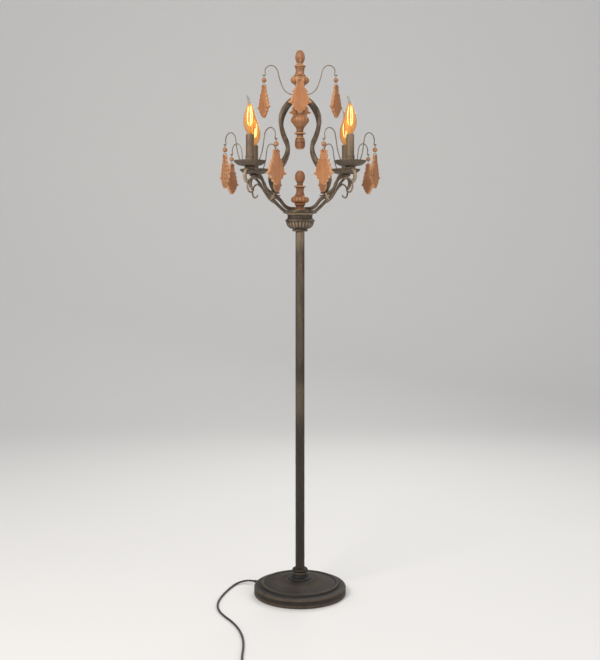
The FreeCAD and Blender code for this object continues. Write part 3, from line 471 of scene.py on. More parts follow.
# ---- curves -----------------------------------------------------------------------------------
def arc_points(start: np.ndarray, middle: np.ndarray, end: np.ndarray, step: float) -> np.ndarray:
    """Points of the arc through three points, after its start.

    The centre lies where the perpendicular bisectors of the two chords meet.

    Args:
        start: first point.
        middle: a point on the way.
        end: last point.
        step: greatest length of a chord.

    Returns:
        An array of points, the last of them end.
    """
    chords = np.array([middle - start, end - start])
    centre = start + np.linalg.solve(chords, 0.5 * (chords ** 2).sum(axis=1))
    angles = [math.atan2(*(point - centre)[::-1]) for point in (start, middle, end)]
    turn = (angles[2] - angles[0]) % (2 * math.pi)
    if (angles[1] - angles[0]) % (2 * math.pi) > turn:
        turn -= 2 * math.pi
    radius = float(np.linalg.norm(start - centre))
    count = max(3, math.ceil(abs(turn) * radius / step), math.ceil(abs(turn) / 0.14))
    along = angles[0] + turn * np.arange(1, count + 1) / count
    return centre + radius * np.stack([np.cos(along), np.sin(along)], axis=1)


def run_points(start: np.ndarray, end: np.ndarray, step: float) -> np.ndarray:
    """Evenly spaced points of a straight run, after its start and at most a step apart."""
    count = max(1, math.ceil(float(np.linalg.norm(end - start)) / step))
    return start + (end - start) * (np.arange(1, count + 1) / count)[:, None]


def above(level: float, outline: Outline) -> Outline:
    """An outline, of pairs and fours, whose heights are counted from a level."""
    return [tuple(value + level * (place % 2) for place, value in enumerate(item)) for item in outline]


def circle(count: int) -> np.ndarray:
    """Evenly spaced angles round a full turn."""
    return np.linspace(0.0, 2 * np.pi, count, endpoint=False)


def direction(heading: float) -> np.ndarray:
    """Unit vector at a heading in degrees."""
    angle = math.radians(heading)
    return np.array([math.cos(angle), math.sin(angle)])


def drawn_out(points: np.ndarray, heading: float, length: float, step: float) -> np.ndarray:
    """A line with a straight run at a heading added to its end."""
    end = points[-1] + length * direction(heading)
    return np.concatenate([points, run_points(points[-1], end, step)])


def distances(path: np.ndarray) -> np.ndarray:
    """Length along a line up to each of its points."""
    return np.concatenate([[0.0], np.cumsum(np.linalg.norm(np.diff(path, axis=0), axis=1))])


def trace(outline: Outline, step: float) -> np.ndarray:
    """Samples an outline of straight runs (pairs) and arcs (middle and end, four numbers).

    Args:
        outline: the outline's steps.
        step: greatest spacing.

    Returns:
        The sampled points.
    """
    here = np.array(outline[0], float)
    found = [here[None, :]]
    for item in outline[1:]:
        there = np.array(item[-2:], float)
        if len(item) == 2:
            found.append(run_points(here, there, step))
        else:
            found.append(arc_points(here, np.array(item[:2], float), there, step))
        here = there
    return np.concatenate(found)


def tangent_arcs(start: tuple[float, float], heading: float, knots: Outline,
                 step: float) -> tuple[np.ndarray, float]:
    """Arcs through knots, each tangent to the last: a chord turned by half the arc's turn from the heading.

    Args:
        start: first point.
        heading: direction there, in degrees.
        knots: points to pass.
        step: greatest spacing.

    Returns:
        The points and the last heading.
    """
    here = np.array(start, float)
    found = [here[None, :]]
    for knot in knots:
        there = np.array(knot, float)
        chord = there - here
        bearing = math.degrees(math.atan2(chord[1], chord[0]))
        half_turn = (bearing - heading + 180.0) % 360.0 - 180.0
        if abs(half_turn) < 0.05:
            found.append(run_points(here, there, step))
        else:
            reach = float(np.linalg.norm(chord)) / 2 / math.cos(math.radians(half_turn / 2))
            middle = here + reach * direction(bearing - half_turn / 2)
            found.append(arc_points(here, middle, there, step))
        here, heading = there, bearing + half_turn
    return np.concatenate(found), heading


def upright(points: np.ndarray) -> np.ndarray:
    """Puts (radius, height) points in the XZ plane."""
    return np.stack([points[:, 0], np.zeros(len(points)), points[:, 1]], axis=1)


def placed(points: np.ndarray, azimuth: float, centre: Sequence[float] = (0.0, 0.0, 0.0)) -> np.ndarray:
    """Turns points about Z, then moves them.

    Args:
        points: an array whose last axis holds x, y and z.
        azimuth: degrees from +X.
        centre: where the origin goes.

    Returns:
        The moved points.
    """
    angle = math.radians(azimuth)
    cos, sin = math.cos(angle), math.sin(angle)
    turned = np.stack([points[..., 0] * cos - points[..., 1] * sin,
                       points[..., 0] * sin + points[..., 1] * cos, points[..., 2]], axis=-1)
    return turned + np.array(centre, float)


def around(radius: float, azimuth: float) -> tuple[float, float]:
    """X and Y at a radius and an azimuth in degrees."""
    angle = math.radians(azimuth)
    return radius * math.cos(angle), radius * math.sin(angle)


CANDLES = tuple(around(CANDLE_RADIUS, azimuth) for azimuth in ARM_AZIMUTHS)


# ---- surfaces ---------------------------------------------------------------------------------
def read(items: bpy.types.bpy_prop_collection, name: str, width: int, kind: type = float) -> np.ndarray:
    """Reads one attribute of all items of a mesh.

    Args:
        items: vertices or edges.
        name: the attribute.
        width: numbers per item.
        kind: their type.

    Returns:
        One row per item.
    """
    values = np.empty(len(items) * width, kind)
    items.foreach_get(name, values)
    return values.reshape(-1, width)


def added(name: str, data: bpy.types.ID) -> bpy.types.Object:
    """Puts a new object into the scene.

    Args:
        name: the object's name.
        data: its mesh, curve, lamp or camera.

    Returns:
        The object.
    """
    made = bpy.data.objects.new(name, data)
    bpy.context.scene.collection.objects.link(made)
    return made


@dataclass
class Skin:
    """Vertices and faces that grow sheet by sheet into one mesh, in millimetres."""

    vertices: list[np.ndarray] = field(default_factory=list)
    faces: list[np.ndarray] = field(default_factory=list)
    count: int = 0

    def add(self, points: np.ndarray, faces: np.ndarray) -> None:
        """Adds points and faces that number them from nought.

        Args:
            points: an n by 3 array.
            faces: an array of corner numbers, three or four a row.
        """
        self.vertices.append(points)
        self.faces.append(faces + self.count)
        self.count += len(points)

    def grid(self, points: np.ndarray, close_rows: bool = False, close_columns: bool = True,
             cap: bool = False) -> "Skin":
        """Adds a grid of points as quads; corner (i, j) joins (i, j+1), (i+1, j+1) and (i+1, j).

        Args:
            points: a rows by columns by 3 array.
            close_rows: whether the last row joins the first.
            close_columns: whether the last column joins the first.
            cap: whether a fan to a middle point closes the first and the last row.

        Returns:
            This skin.
        """
        rows, columns = points.shape[:2]
        number = np.arange(rows * columns).reshape(rows, columns)
        if close_rows:
            number = np.concatenate([number, number[:1]], axis=0)
        if close_columns:
            number = np.concatenate([number, number[:, :1]], axis=1)
        quads = np.stack([number[:-1, :-1], number[:-1, 1:], number[1:, 1:], number[1:, :-1]], axis=-1)
        base = self.count
        self.add(points.reshape(-1, 3), quads.reshape(-1, 4))
        if cap:
            for row, flip in ((0, True), (rows - 1, False)):
                middle = self.count
                ring = base + row * columns + np.arange(columns)
                following = np.roll(ring, -1)
                self.vertices.append(points[row].mean(axis=0)[None, :])
                self.count += 1
                fan = np.stack([ring, following, np.full(columns, middle)], axis=1)
                self.faces.append(fan[:, ::-1] if flip else fan)
        return self

    def take(self, other: "Skin", azimuth: float, centre: Sequence[float] = (0.0, 0.0, 0.0)) -> "Skin":
        """Adds another skin's mesh, turned about Z and then moved.

        Args:
            other: the skin that is copied.
            azimuth: degrees from +X.
            centre: where its origin goes.

        Returns:
            This skin.
        """
        self.faces.extend(block + self.count for block in other.faces)
        self.vertices.extend(placed(block, azimuth, centre) for block in other.vertices)
        self.count += other.count
        return self

    def tube(self, path: np.ndarray, radii: np.ndarray, side: np.ndarray, sides: int = 20,
             flat: float = 1.0) -> "Skin":
        """Adds a round bar along a flat path: each ring is radius x (cos a, sin a) across the tangent.

        Args:
            path: an n by 3 array of points.
            radii: n radii.
            side: the unit normal of the path's plane.
            sides: points round the bar.
            flat: how wide the bar is across its plane against in it.

        Returns:
            This skin.
        """
        ahead = np.gradient(path, axis=0)
        ahead /= np.linalg.norm(ahead, axis=1)[:, None]
        over = np.cross(ahead, side[None, :])
        over /= np.linalg.norm(over, axis=1)[:, None]
        angle = circle(sides)
        ring = (np.cos(angle)[None, :, None] * over[:, None, :]
                + flat * np.sin(angle)[None, :, None] * side[None, None, :])
        return self.grid(path[:, None, :] + radii[:, None, None] * ring, cap=True)

    def torus(self, centre: np.ndarray, axis: np.ndarray, radius: float, thick: float, rings: int = 40,
              sides: int = 12) -> "Skin":
        """Adds a ring: a circle of radius thick carried round a circle of the given radius.

        Args:
            centre: the middle.
            axis: the unit normal of its plane.
            radius: centre line radius.
            thick: radius of the bar.
            rings: steps round.
            sides: steps about the bar.

        Returns:
            This skin.
        """
        first = np.cross(axis, [0.0, 0.0, 1.0])
        if np.linalg.norm(first) < 1e-6:
            first = np.array([1.0, 0.0, 0.0])
        first /= np.linalg.norm(first)
        second = np.cross(axis, first)
        turn = circle(rings)
        roll = circle(sides)
        out = np.cos(turn)[:, None] * first + np.sin(turn)[:, None] * second
        points = (centre + (radius + thick * np.cos(roll))[None, :, None] * out[:, None, :]
                  + (thick * np.sin(roll))[None, :, None] * axis)
        return self.grid(points, close_rows=True)

    def lathe(self, profile: np.ndarray, segments: int, relief: Relief | None = None,
              centre: Sequence[float] = (0.0, 0.0, 0.0), bore: bool = False) -> "Skin":
        """Adds a turned form: the profile's radius, plus its relief, carried round the axis.

        Args:
            profile: (radius, height) points from bottom to top.
            segments: steps round.
            relief: change of the radius by height and angle.
            centre: where the axis stands.
            bore: whether the profile is a closed loop round a wall.

        Returns:
            This skin.
        """
        theta = circle(segments)
        radius = np.repeat(profile[:, :1], segments, axis=1)
        height = np.repeat(profile[:, 1:], segments, axis=1)
        if relief is not None:
            radius = np.maximum(radius + relief(height, theta[None, :]) * (radius > 4.0), 0.0)
        points = np.stack([radius * np.cos(theta), radius * np.sin(theta), height], axis=-1) + np.array(centre)
        return self.grid(points, close_rows=bore, cap=not bore)

    def piece(self, name: str, sharp: float = 38.0) -> bpy.types.Object:
        """Makes the object, smooth but for edges sharper than an angle.

        Args:
            name: the piece's name.
            sharp: the angle in degrees.

        Returns:
            The object, in metres, at the origin.
        """
        mesh = bpy.data.meshes.new(name)
        faces = [row.tolist() for block in self.faces for row in block]
        mesh.from_pydata((np.concatenate(self.vertices) * MM).tolist(), [], faces)
        shell = bmesh.new()
        shell.from_mesh(mesh)
        bmesh.ops.remove_doubles(shell, verts=shell.verts, dist=1e-7)
        bmesh.ops.dissolve_degenerate(shell, edges=shell.edges, dist=1e-7)
        bmesh.ops.recalc_face_normals(shell, faces=shell.faces)
        shell.to_mesh(mesh)
        shell.free()
        mesh.polygons.foreach_set("use_smooth", np.ones(len(mesh.polygons), bool))
        mesh.set_sharp_from_angle(angle=math.radians(sharp))
        mark_relief(mesh)
        return added(name, mesh)


def mark_relief(mesh: bpy.types.Mesh, rounds: int = 14) -> None:
    """Writes how far each point lies above or below its surroundings, as an attribute in millimetres.

    The points are averaged with their neighbours over and over; the way back along the normal is the
    relief, above nought on edges and below it in hollows, less its median for the whole piece.

    Args:
        mesh: the mesh, in metres.
        rounds: how often the points are averaged.
    """
    count = len(mesh.vertices)
    start = read(mesh.vertices, "co", 3) / MM
    normals = read(mesh.vertices, "normal", 3)
    edges = read(mesh.edges, "vertices", 2, int)
    first, second = edges.T
    mean = start.copy()
    near = np.maximum(np.bincount(edges.ravel(), minlength=count), 1)[:, None]
    for _ in range(rounds):
        total = np.stack([np.bincount(first, mean[second, axis], count)
                          + np.bincount(second, mean[first, axis], count) for axis in range(3)], axis=1)
        mean = 0.4 * mean + 0.6 * total / near
    above = ((start - mean) * normals).sum(axis=1)
    layer = mesh.attributes.new("relief", "FLOAT", "POINT")
    layer.data.foreach_set("value", above - np.median(above))


@dataclass(frozen=True)
class Lobes:
    """Carved lobes round a band: between lobes depth x (1 - |cos| ^ power) comes off the radius."""

    count: int
    depth: float
    low: float
    high: float
    twist: float = 0.0
    power: float = 0.8

    def __call__(self, height: np.ndarray, theta: np.ndarray) -> np.ndarray:
        """Change of radius at heights and angles.

        Args:
            height: heights on the piece.
            theta: angles about its axis.

        Returns:
            The change, nought or less.
        """
        share = np.clip((height - self.low) / (self.high - self.low), 0.0, 1.0)
        window = np.sin(np.pi * share) ** 0.6
        crest = np.abs(np.cos(0.5 * self.count * (theta + self.twist * share))) ** self.power
        return -self.depth * window * (1.0 - crest)


def several(*reliefs: Relief) -> Relief:
    """Adds reliefs up."""
    return lambda height, theta: sum(relief(height, theta) for relief in reliefs)


# ---- base and pole -----------------------------------------------------------------------------
@dataclass
class BaseAndPole:
    """Round base with a fluted dome, the collar and the two lengths of pole."""

    shop: Workshop
    flutes: int = 96
    steps_per_flute: int = 6
    flute_depth: float = 0.9
    flute_from: float = 36.0
    flute_to: float = 97.0
    wall: float = 1.6

    def flute(self, points: np.ndarray, theta: np.ndarray) -> np.ndarray:
        """Depth of the radial flutes: |cos| waves that fade at both ends of their band.

        Args:
            points: radii of the profile.
            theta: angles.

        Returns:
            How far the surface drops.
        """
        share = np.clip((points - self.flute_from) / (self.flute_to - self.flute_from), 0.0, 1.0)
        window = np.clip(np.sin(np.pi * share) * 2.2, 0.0, 1.0)
        return self.flute_depth * window * (1.0 - np.abs(np.cos(0.5 * self.flutes * theta)))

    def casting(self) -> bpy.types.Object:
        """The base, with flutes cut into the flat of its dome.

        Returns:
            The piece.
        """
        edge = BASE_RADIUS
        outline = [
            (edge - 3.5, 1.0), (edge - 1.5, 1.0), (edge, 2.5), (edge, 19.0), (edge - 1.6, 23.6, edge - 6.0, 25.5),
            (edge - 16.0, 27.0), (edge - 18.6, 30.0), (edge - 21.0, 32.6, edge - 24.5, 32.6),
            (edge - 27.2, 32.0, edge - 29.0, 30.5), (66.0, 38.5), (33.0, 44.0), (32.4, 46.6, 30.0, 47.6),
            (26.0, 48.0), (21.5, 52.0, 20.0, BASE_TOP - 3.0), (18.5, BASE_TOP), (12.9, BASE_TOP), (12.9, 41.0),
            (28.0, 41.0), (34.0, 39.0), (95.0, 27.0), (edge - 4.0, 18.0), (edge - 3.5, 1.0),
        ]
        profile = trace(outline, 2.6)[:-1]
        theta = circle(self.flutes * self.steps_per_flute)
        radius, height = profile[:, :1], profile[:, 1:]
        top = (height > 29.5) & (height < 45.0) & (np.arange(len(profile))[:, None] < len(profile) * 0.62)
        drop = self.flute(radius, theta[None, :]) * top
        points = np.stack([radius * np.cos(theta), radius * np.sin(theta), height - drop], axis=-1)
        return Skin().grid(points, close_rows=True).piece("base_casting_piece")

    def tube(self, name: str, bottom: float, top: float) -> bpy.types.Object:
        """A length of pole with eased ends.

        Args:
            name: the piece's name.
            bottom: lower end.
            top: upper end.

        Returns:
            The piece.
        """
        outer, inner = POLE_RADIUS, POLE_RADIUS - self.wall
        outline = [(outer - 0.5, bottom), (outer, bottom + 0.5), (outer, top - 0.5), (outer - 0.5, top),
                   (inner, top), (inner, bottom), (outer - 0.5, bottom)]
        return Skin().lathe(trace(outline, 30.0)[:-1], 72, bore=True).piece(name)

    def collar(self) -> bpy.types.Object:
        """The turned collar at the pole's foot.

        Returns:
            The piece.
        """
        inner = POLE_RADIUS + 0.1
        outline = [(inner, 0.0), (18.7, 0.0), (21.7, 5.5, 18.7, 9.5), (15.7, 11.0), (inner, 11.0), (inner, 0.0)]
        profile = trace(outline, 1.0)[:-1] + np.array([0.0, BASE_TOP])
        return Skin().lathe(profile, 72, bore=True).piece("base_collar_piece")

    def build(self) -> None:
        """Builds and dresses every piece."""
        fit = self.shop.fit
        fit(self.casting(), Finish.BASE, "bronze_patina", "base_casting")
        fit(self.collar(), Finish.BASE, "bronze_patina", "base_collar")
        fit(self.tube("lower_pole_piece", POLE_BOTTOM, POLE_JOINT), Finish.POLE, "bronze_pole", "lower_pole")
        fit(self.tube("upper_pole_piece", POLE_JOINT, POLE_TOP), Finish.POLE, "bronze_pole", "upper_pole")
        for node, finish in (("base_felt", Finish.FELT), ("base_weight", Finish.IRON),
                             ("threaded_hardware", Finish.STEEL)):
            self.shop.redress(node, finish)


# ---- bowl, column and finials ------------------------------------------------------------------
@dataclass
class Turning:
    """One turned piece of the stack."""

    node: str
    bottom: float
    outline: Outline
    bore: float = 0.0
    finish: Finish = Finish.WOOD
    slot: str = "turned_wood"
    relief: Relief | None = None
    segments: int = 128
    step: float = 0.9

    def piece(self) -> bpy.types.Object:
        """Turns the piece, with a straight bore where it has one.

        Returns:
            The piece.
        """
        profile = trace(self.outline, self.step)
        bored = self.bore > 0
        if bored:
            profile = np.array([[self.bore, profile[0, 1]], *profile, [self.bore, profile[-1, 1]]])
        profile = profile + np.array([0.0, self.bottom])
        relief = self.relief
        shifted = None if relief is None else (lambda height, theta: relief(height - self.bottom, theta))
        return Skin().lathe(profile, self.segments, shifted, bore=bored).piece(self.node + "_piece")


@dataclass
class Stack:
    """Bowl, rim, finials and the turned column, from the pole's top to the lamp's."""

    shop: Workshop

    def turnings(self) -> list[Turning]:
        """Every turned piece, from the bottom up.

        Returns:
            The pieces.
        """
        bronze = {"finish": Finish.BRONZE, "slot": "bronze_patina"}
        spindle_bottom = HUB_BOTTOM - 98.5
        return [
            Turning("bowl_cup", POLE_TOP, [
                (18.0, 0), (21.9, 3.0, 18.5, 6.0), (21.0, 7.0), (34.6, 14.0, 38.9, 27.0),
                (41.6, 30.0, 37.9, 33.5), (34.9, 41.0, 37.4, 49.0)],
                bore=STEM_BORE, relief=Lobes(24, 1.9, 6.5, 27.5, power=0.6), segments=240, **bronze),
            Turning("bowl_rim", BOWL_TOP, [
                (40.0, 0), (44.0, 1.5), (47.5, 5.75, 44.0, 9.9), (41.0, 10.5)], bore=STEM_BORE, **bronze),
            Turning("lower_finial", RIM_TOP, [
                (16.5, 0), (16.5, 2.5), (12.6, 6.0, 12.8, 13.0), (15.5, 16.5, 14.0, 20.0), (20.0, 21.0),
                (25.5, 28.0, 20.0, 37.5), (16.5, 39.5), (10.6, 52.0, 12.6, 63.5), (16.2, 65.0), (16.2, 68.0),
                (9.0, 70.0), (8.2, 76.0), (14.2, 90.0, 10.2, 106.0), (6.5, 109.8, 0.5, 110.8)],
                relief=several(Lobes(16, 0.9, 21.0, 38.5), Lobes(12, 0.8, 77.0, 109.0)), segments=192),
            Turning("column_drop", spindle_bottom - 32.5, [
                (8.0, 0), (13.4, 7.0, 14.0, 17.0), (13.6, 26.0, 12.0, 29.0), (12.5, 31.0), (12.0, 32.5)],
                relief=Lobes(12, 0.9, 1.0, 29.0), segments=192),
            Turning("lower_spindle", spindle_bottom, [
                (9.5, 0), (8.8, 8.0), (16.0, 10.5), (16.0, 13.5), (10.4, 15.5), (9.6, 21.0, 14.6, 31.0),
                (19.5, 38.0), (21.5, 40.5), (25.8, 47.0, 23.0, 56.5), (19.0, 61.5), (14.0, 63.5),
                (12.6, 69.0, 14.0, 75.0), (18.5, 84.0, 15.0, 92.5), (16.5, 98.5)],
                bore=COLUMN_BORE, relief=Lobes(16, 0.9, 38.5, 61.0), segments=192),
            Turning("lyre_hub", HUB_BOTTOM, [
                (16.0, 0), (19.0, 3.0), (19.0, 23.0), (18.0, 24.0)], bore=COLUMN_BORE, **bronze),
            Turning("upper_spindle", HUB_TOP, [
                (17.0, 0), (21.5, 7.0), (21.5, 8.5), (14.0, 12.0, 12.6, 20.0), (15.0, 24.5, 20.0, 28.5),
                (22.0, 30.0), (26.8, 37.5, 22.0, 47.0), (18.0, 48.5), (18.0, 51.0), (13.2, 58.0, 12.5, 66.0),
                (13.5, 72.5, 16.2, 76.5), (16.2, 79.0), (10.0, 84.0)],
                bore=COLUMN_BORE, relief=several(Lobes(16, 1.0, 28.5, 47.5), Lobes(12, 0.7, 72.0, 82.0)),
                segments=192),
            Turning("crown_finial", HUB_TOP + 84.0, [
                (6.4, 0), (13.9, 17.0, 9.6, 33.0), (6.0, 37.2, 0.5, 38.5)],
                relief=Lobes(10, 1.0, 2.0, 37.0, twist=0.35), segments=160),
        ]

    def build(self) -> None:
        """Builds and dresses every piece."""
        for turning in self.turnings():
            self.shop.fit(turning.piece(), turning.finish, turning.slot, turning.node)


# ---- arms and lyre -----------------------------------------------------------------------------
@dataclass
class ForgedArms:
    """Four welded arms: scrolled rod, leaf rod, curl and tie."""

    shop: Workshop
    rod: float = 4.0
    leaf: float = 3.6
    curl: float = 2.5
    step: float = 1.5
    swell: float = 0.24
    tie_half_height: float = 11.6
    tie_half_length: float = 2.2
    tie_slope: float = 33.0
    tie_radius_at: float = 107.0
    tie_above_rim: float = 35.2
    tie_steps: int = 48
    tie_corner: float = 0.45

    def arm(self, azimuth: float, number: int) -> bpy.types.Object:
        """One arm, made in the XZ plane and turned.

        Args:
            azimuth: where the arm points.
            number: its number.

        Returns:
            The piece.
        """
        seat = RIM_TOP + self.rod + 0.2
        main, heading = tangent_arcs((34.0, seat), 0.0, [
            *above(RIM_TOP, [(69.0, 19.3), (109.0, 44.2), (141.5, 73.8), (165.4, 99.2)]),
            *above(ARM_CREST, [(187.7, 0.0), (205.6, -11.6), (200.5, -33.5)])], self.step)
        start = np.array([[17.4, seat]])
        main = np.concatenate([start, run_points(start[0], main[0], self.step)[:-1],
                               drawn_out(main, heading, 9.0, self.step)])
        swollen = 1.0 + self.swell * np.clip((np.arange(len(main)) / len(main) - 0.66) / 0.16, 0.0, 1.0)
        skin = Skin().tube(upright(main), self.thinned(main, self.rod, 0.0, 9.0) * swollen, ACROSS, 24)
        leaf, heading = tangent_arcs((48.0, RIM_TOP - 5.6), 6.0, above(RIM_TOP, [
            (66.0, 0.4), (92.4, 18.4), (112.6, 30.0), (132.7, 44.4), (150.4, 64.4), (168.0, 79.0)]), self.step)
        leaf = drawn_out(leaf, heading - 8.0, 11.0, self.step)
        skin.tube(upright(leaf), self.thinned(leaf, self.leaf, 8.0, 7.0), ACROSS, 24)
        curl, heading = tangent_arcs((172.0, RIM_TOP + 80.0), 15.0, above(RIM_TOP, [
            (188.0, 77.0), (197.0, 64.0), (194.5, 47.0), (178.0, 45.5)]), 1.0)
        curl = drawn_out(curl, heading, 7.0, 1.0)
        skin.tube(upright(curl), self.thinned(curl, self.curl, 0.0, 7.0), ACROSS, 16)
        self.tie(skin)
        return Skin().take(skin, azimuth).piece("candle_arm_%d_piece" % number, 50.0)

    @staticmethod
    def thinned(path: np.ndarray, radius: float, root: float, point: float) -> np.ndarray:
        """Radii along a rod that swells from its root and thins to its drawn-out point.

        Args:
            path: the rod's points.
            radius: full radius.
            root: length over which it swells.
            point: length over which it thins.

        Returns:
            One radius per point.
        """
        along = distances(path)
        swell = np.clip((along + 1.0) / max(root, 1e-6), 0.55, 1.0) if root else 1.0
        left = (along[-1] - along) / point
        return radius * swell * np.clip(left, 0.02, 1.0) ** 0.55

    def tie(self, skin: Skin) -> None:
        """Adds the strap that holds both rods, a rounded box loop.

        Args:
            skin: where it goes.
        """
        long = self.tie_half_length
        cos, sin = np.cos(circle(self.tie_steps)), np.sin(circle(self.tie_steps))
        ring_y = (self.rod + 0.9) * np.sign(cos) * np.abs(cos) ** self.tie_corner
        ring_z = self.tie_half_height * np.sign(sin) * np.abs(sin) ** self.tie_corner
        stations = np.array([[-long, 0.86], [-long + 0.8, 1.0], [-0.5, 1.0], [0.0, 0.94], [0.5, 1.0],
                             [long - 0.8, 1.0], [long, 0.86]])
        slope = math.radians(self.tie_slope)
        x = np.repeat(stations[:, :1], self.tie_steps, axis=1)
        y = stations[:, 1:] * ring_y
        z = stations[:, 1:] * ring_z
        skin.grid(np.stack([
            self.tie_radius_at + x * math.cos(slope) - z * math.sin(slope), y,
            RIM_TOP + self.tie_above_rim + x * math.sin(slope) + z * math.cos(slope)], axis=-1), cap=True)

    def build(self) -> None:
        """Builds and dresses the four arms."""
        for number, azimuth in enumerate(ARM_AZIMUTHS, 1):
            self.shop.fit(self.arm(azimuth, number), Finish.BRONZE, "bronze_patina",
                          "candle_arm_%d" % number)


@dataclass
class Lyre:
    """Four rods from the hub down to the arms."""

    shop: Workshop
    rod: float = 6.0
    foot: float = 2.8
    heading: float = -27.0
    step: float = 1.6

    def build(self) -> None:
        """Builds the four rods as one piece."""
        def start(radius: float) -> tuple[float, float]:
            """A point of the slanting root."""
            return radius, HUB_BOTTOM + 12.0 + (radius - 19.0) * math.tan(math.radians(self.heading))
        line, heading = tangent_arcs(start(20.0), self.heading, above(RIM_TOP, [
            (42.0, 299.5), (68.5, 269.6), (72.7, 229.2), (55.0, 193.4), (52.5, 153.2), (81.6, 119.8),
            (106.5, 100.0), (116.0, 74.5), (103.6, 51.0), (86.0, 44.6)]), self.step)
        line = np.concatenate([[start(13.0)], drawn_out(line, heading, 8.0, self.step)])
        along = distances(line)
        left = along[-1] - along
        radii = np.interp(left, [0.0, 3.0, 28.0, 110.0], [0.5, 1.5, self.foot, self.rod])
        bar = Skin().tube(upright(line), radii, ACROSS, 28)
        whole = Skin()
        for azimuth in ARM_AZIMUTHS:
            whole.take(bar, azimuth)
        self.shop.fit(whole.piece("lyre_rods_piece", 50.0), Finish.BRONZE, "bronze_patina", "lyre_rods")


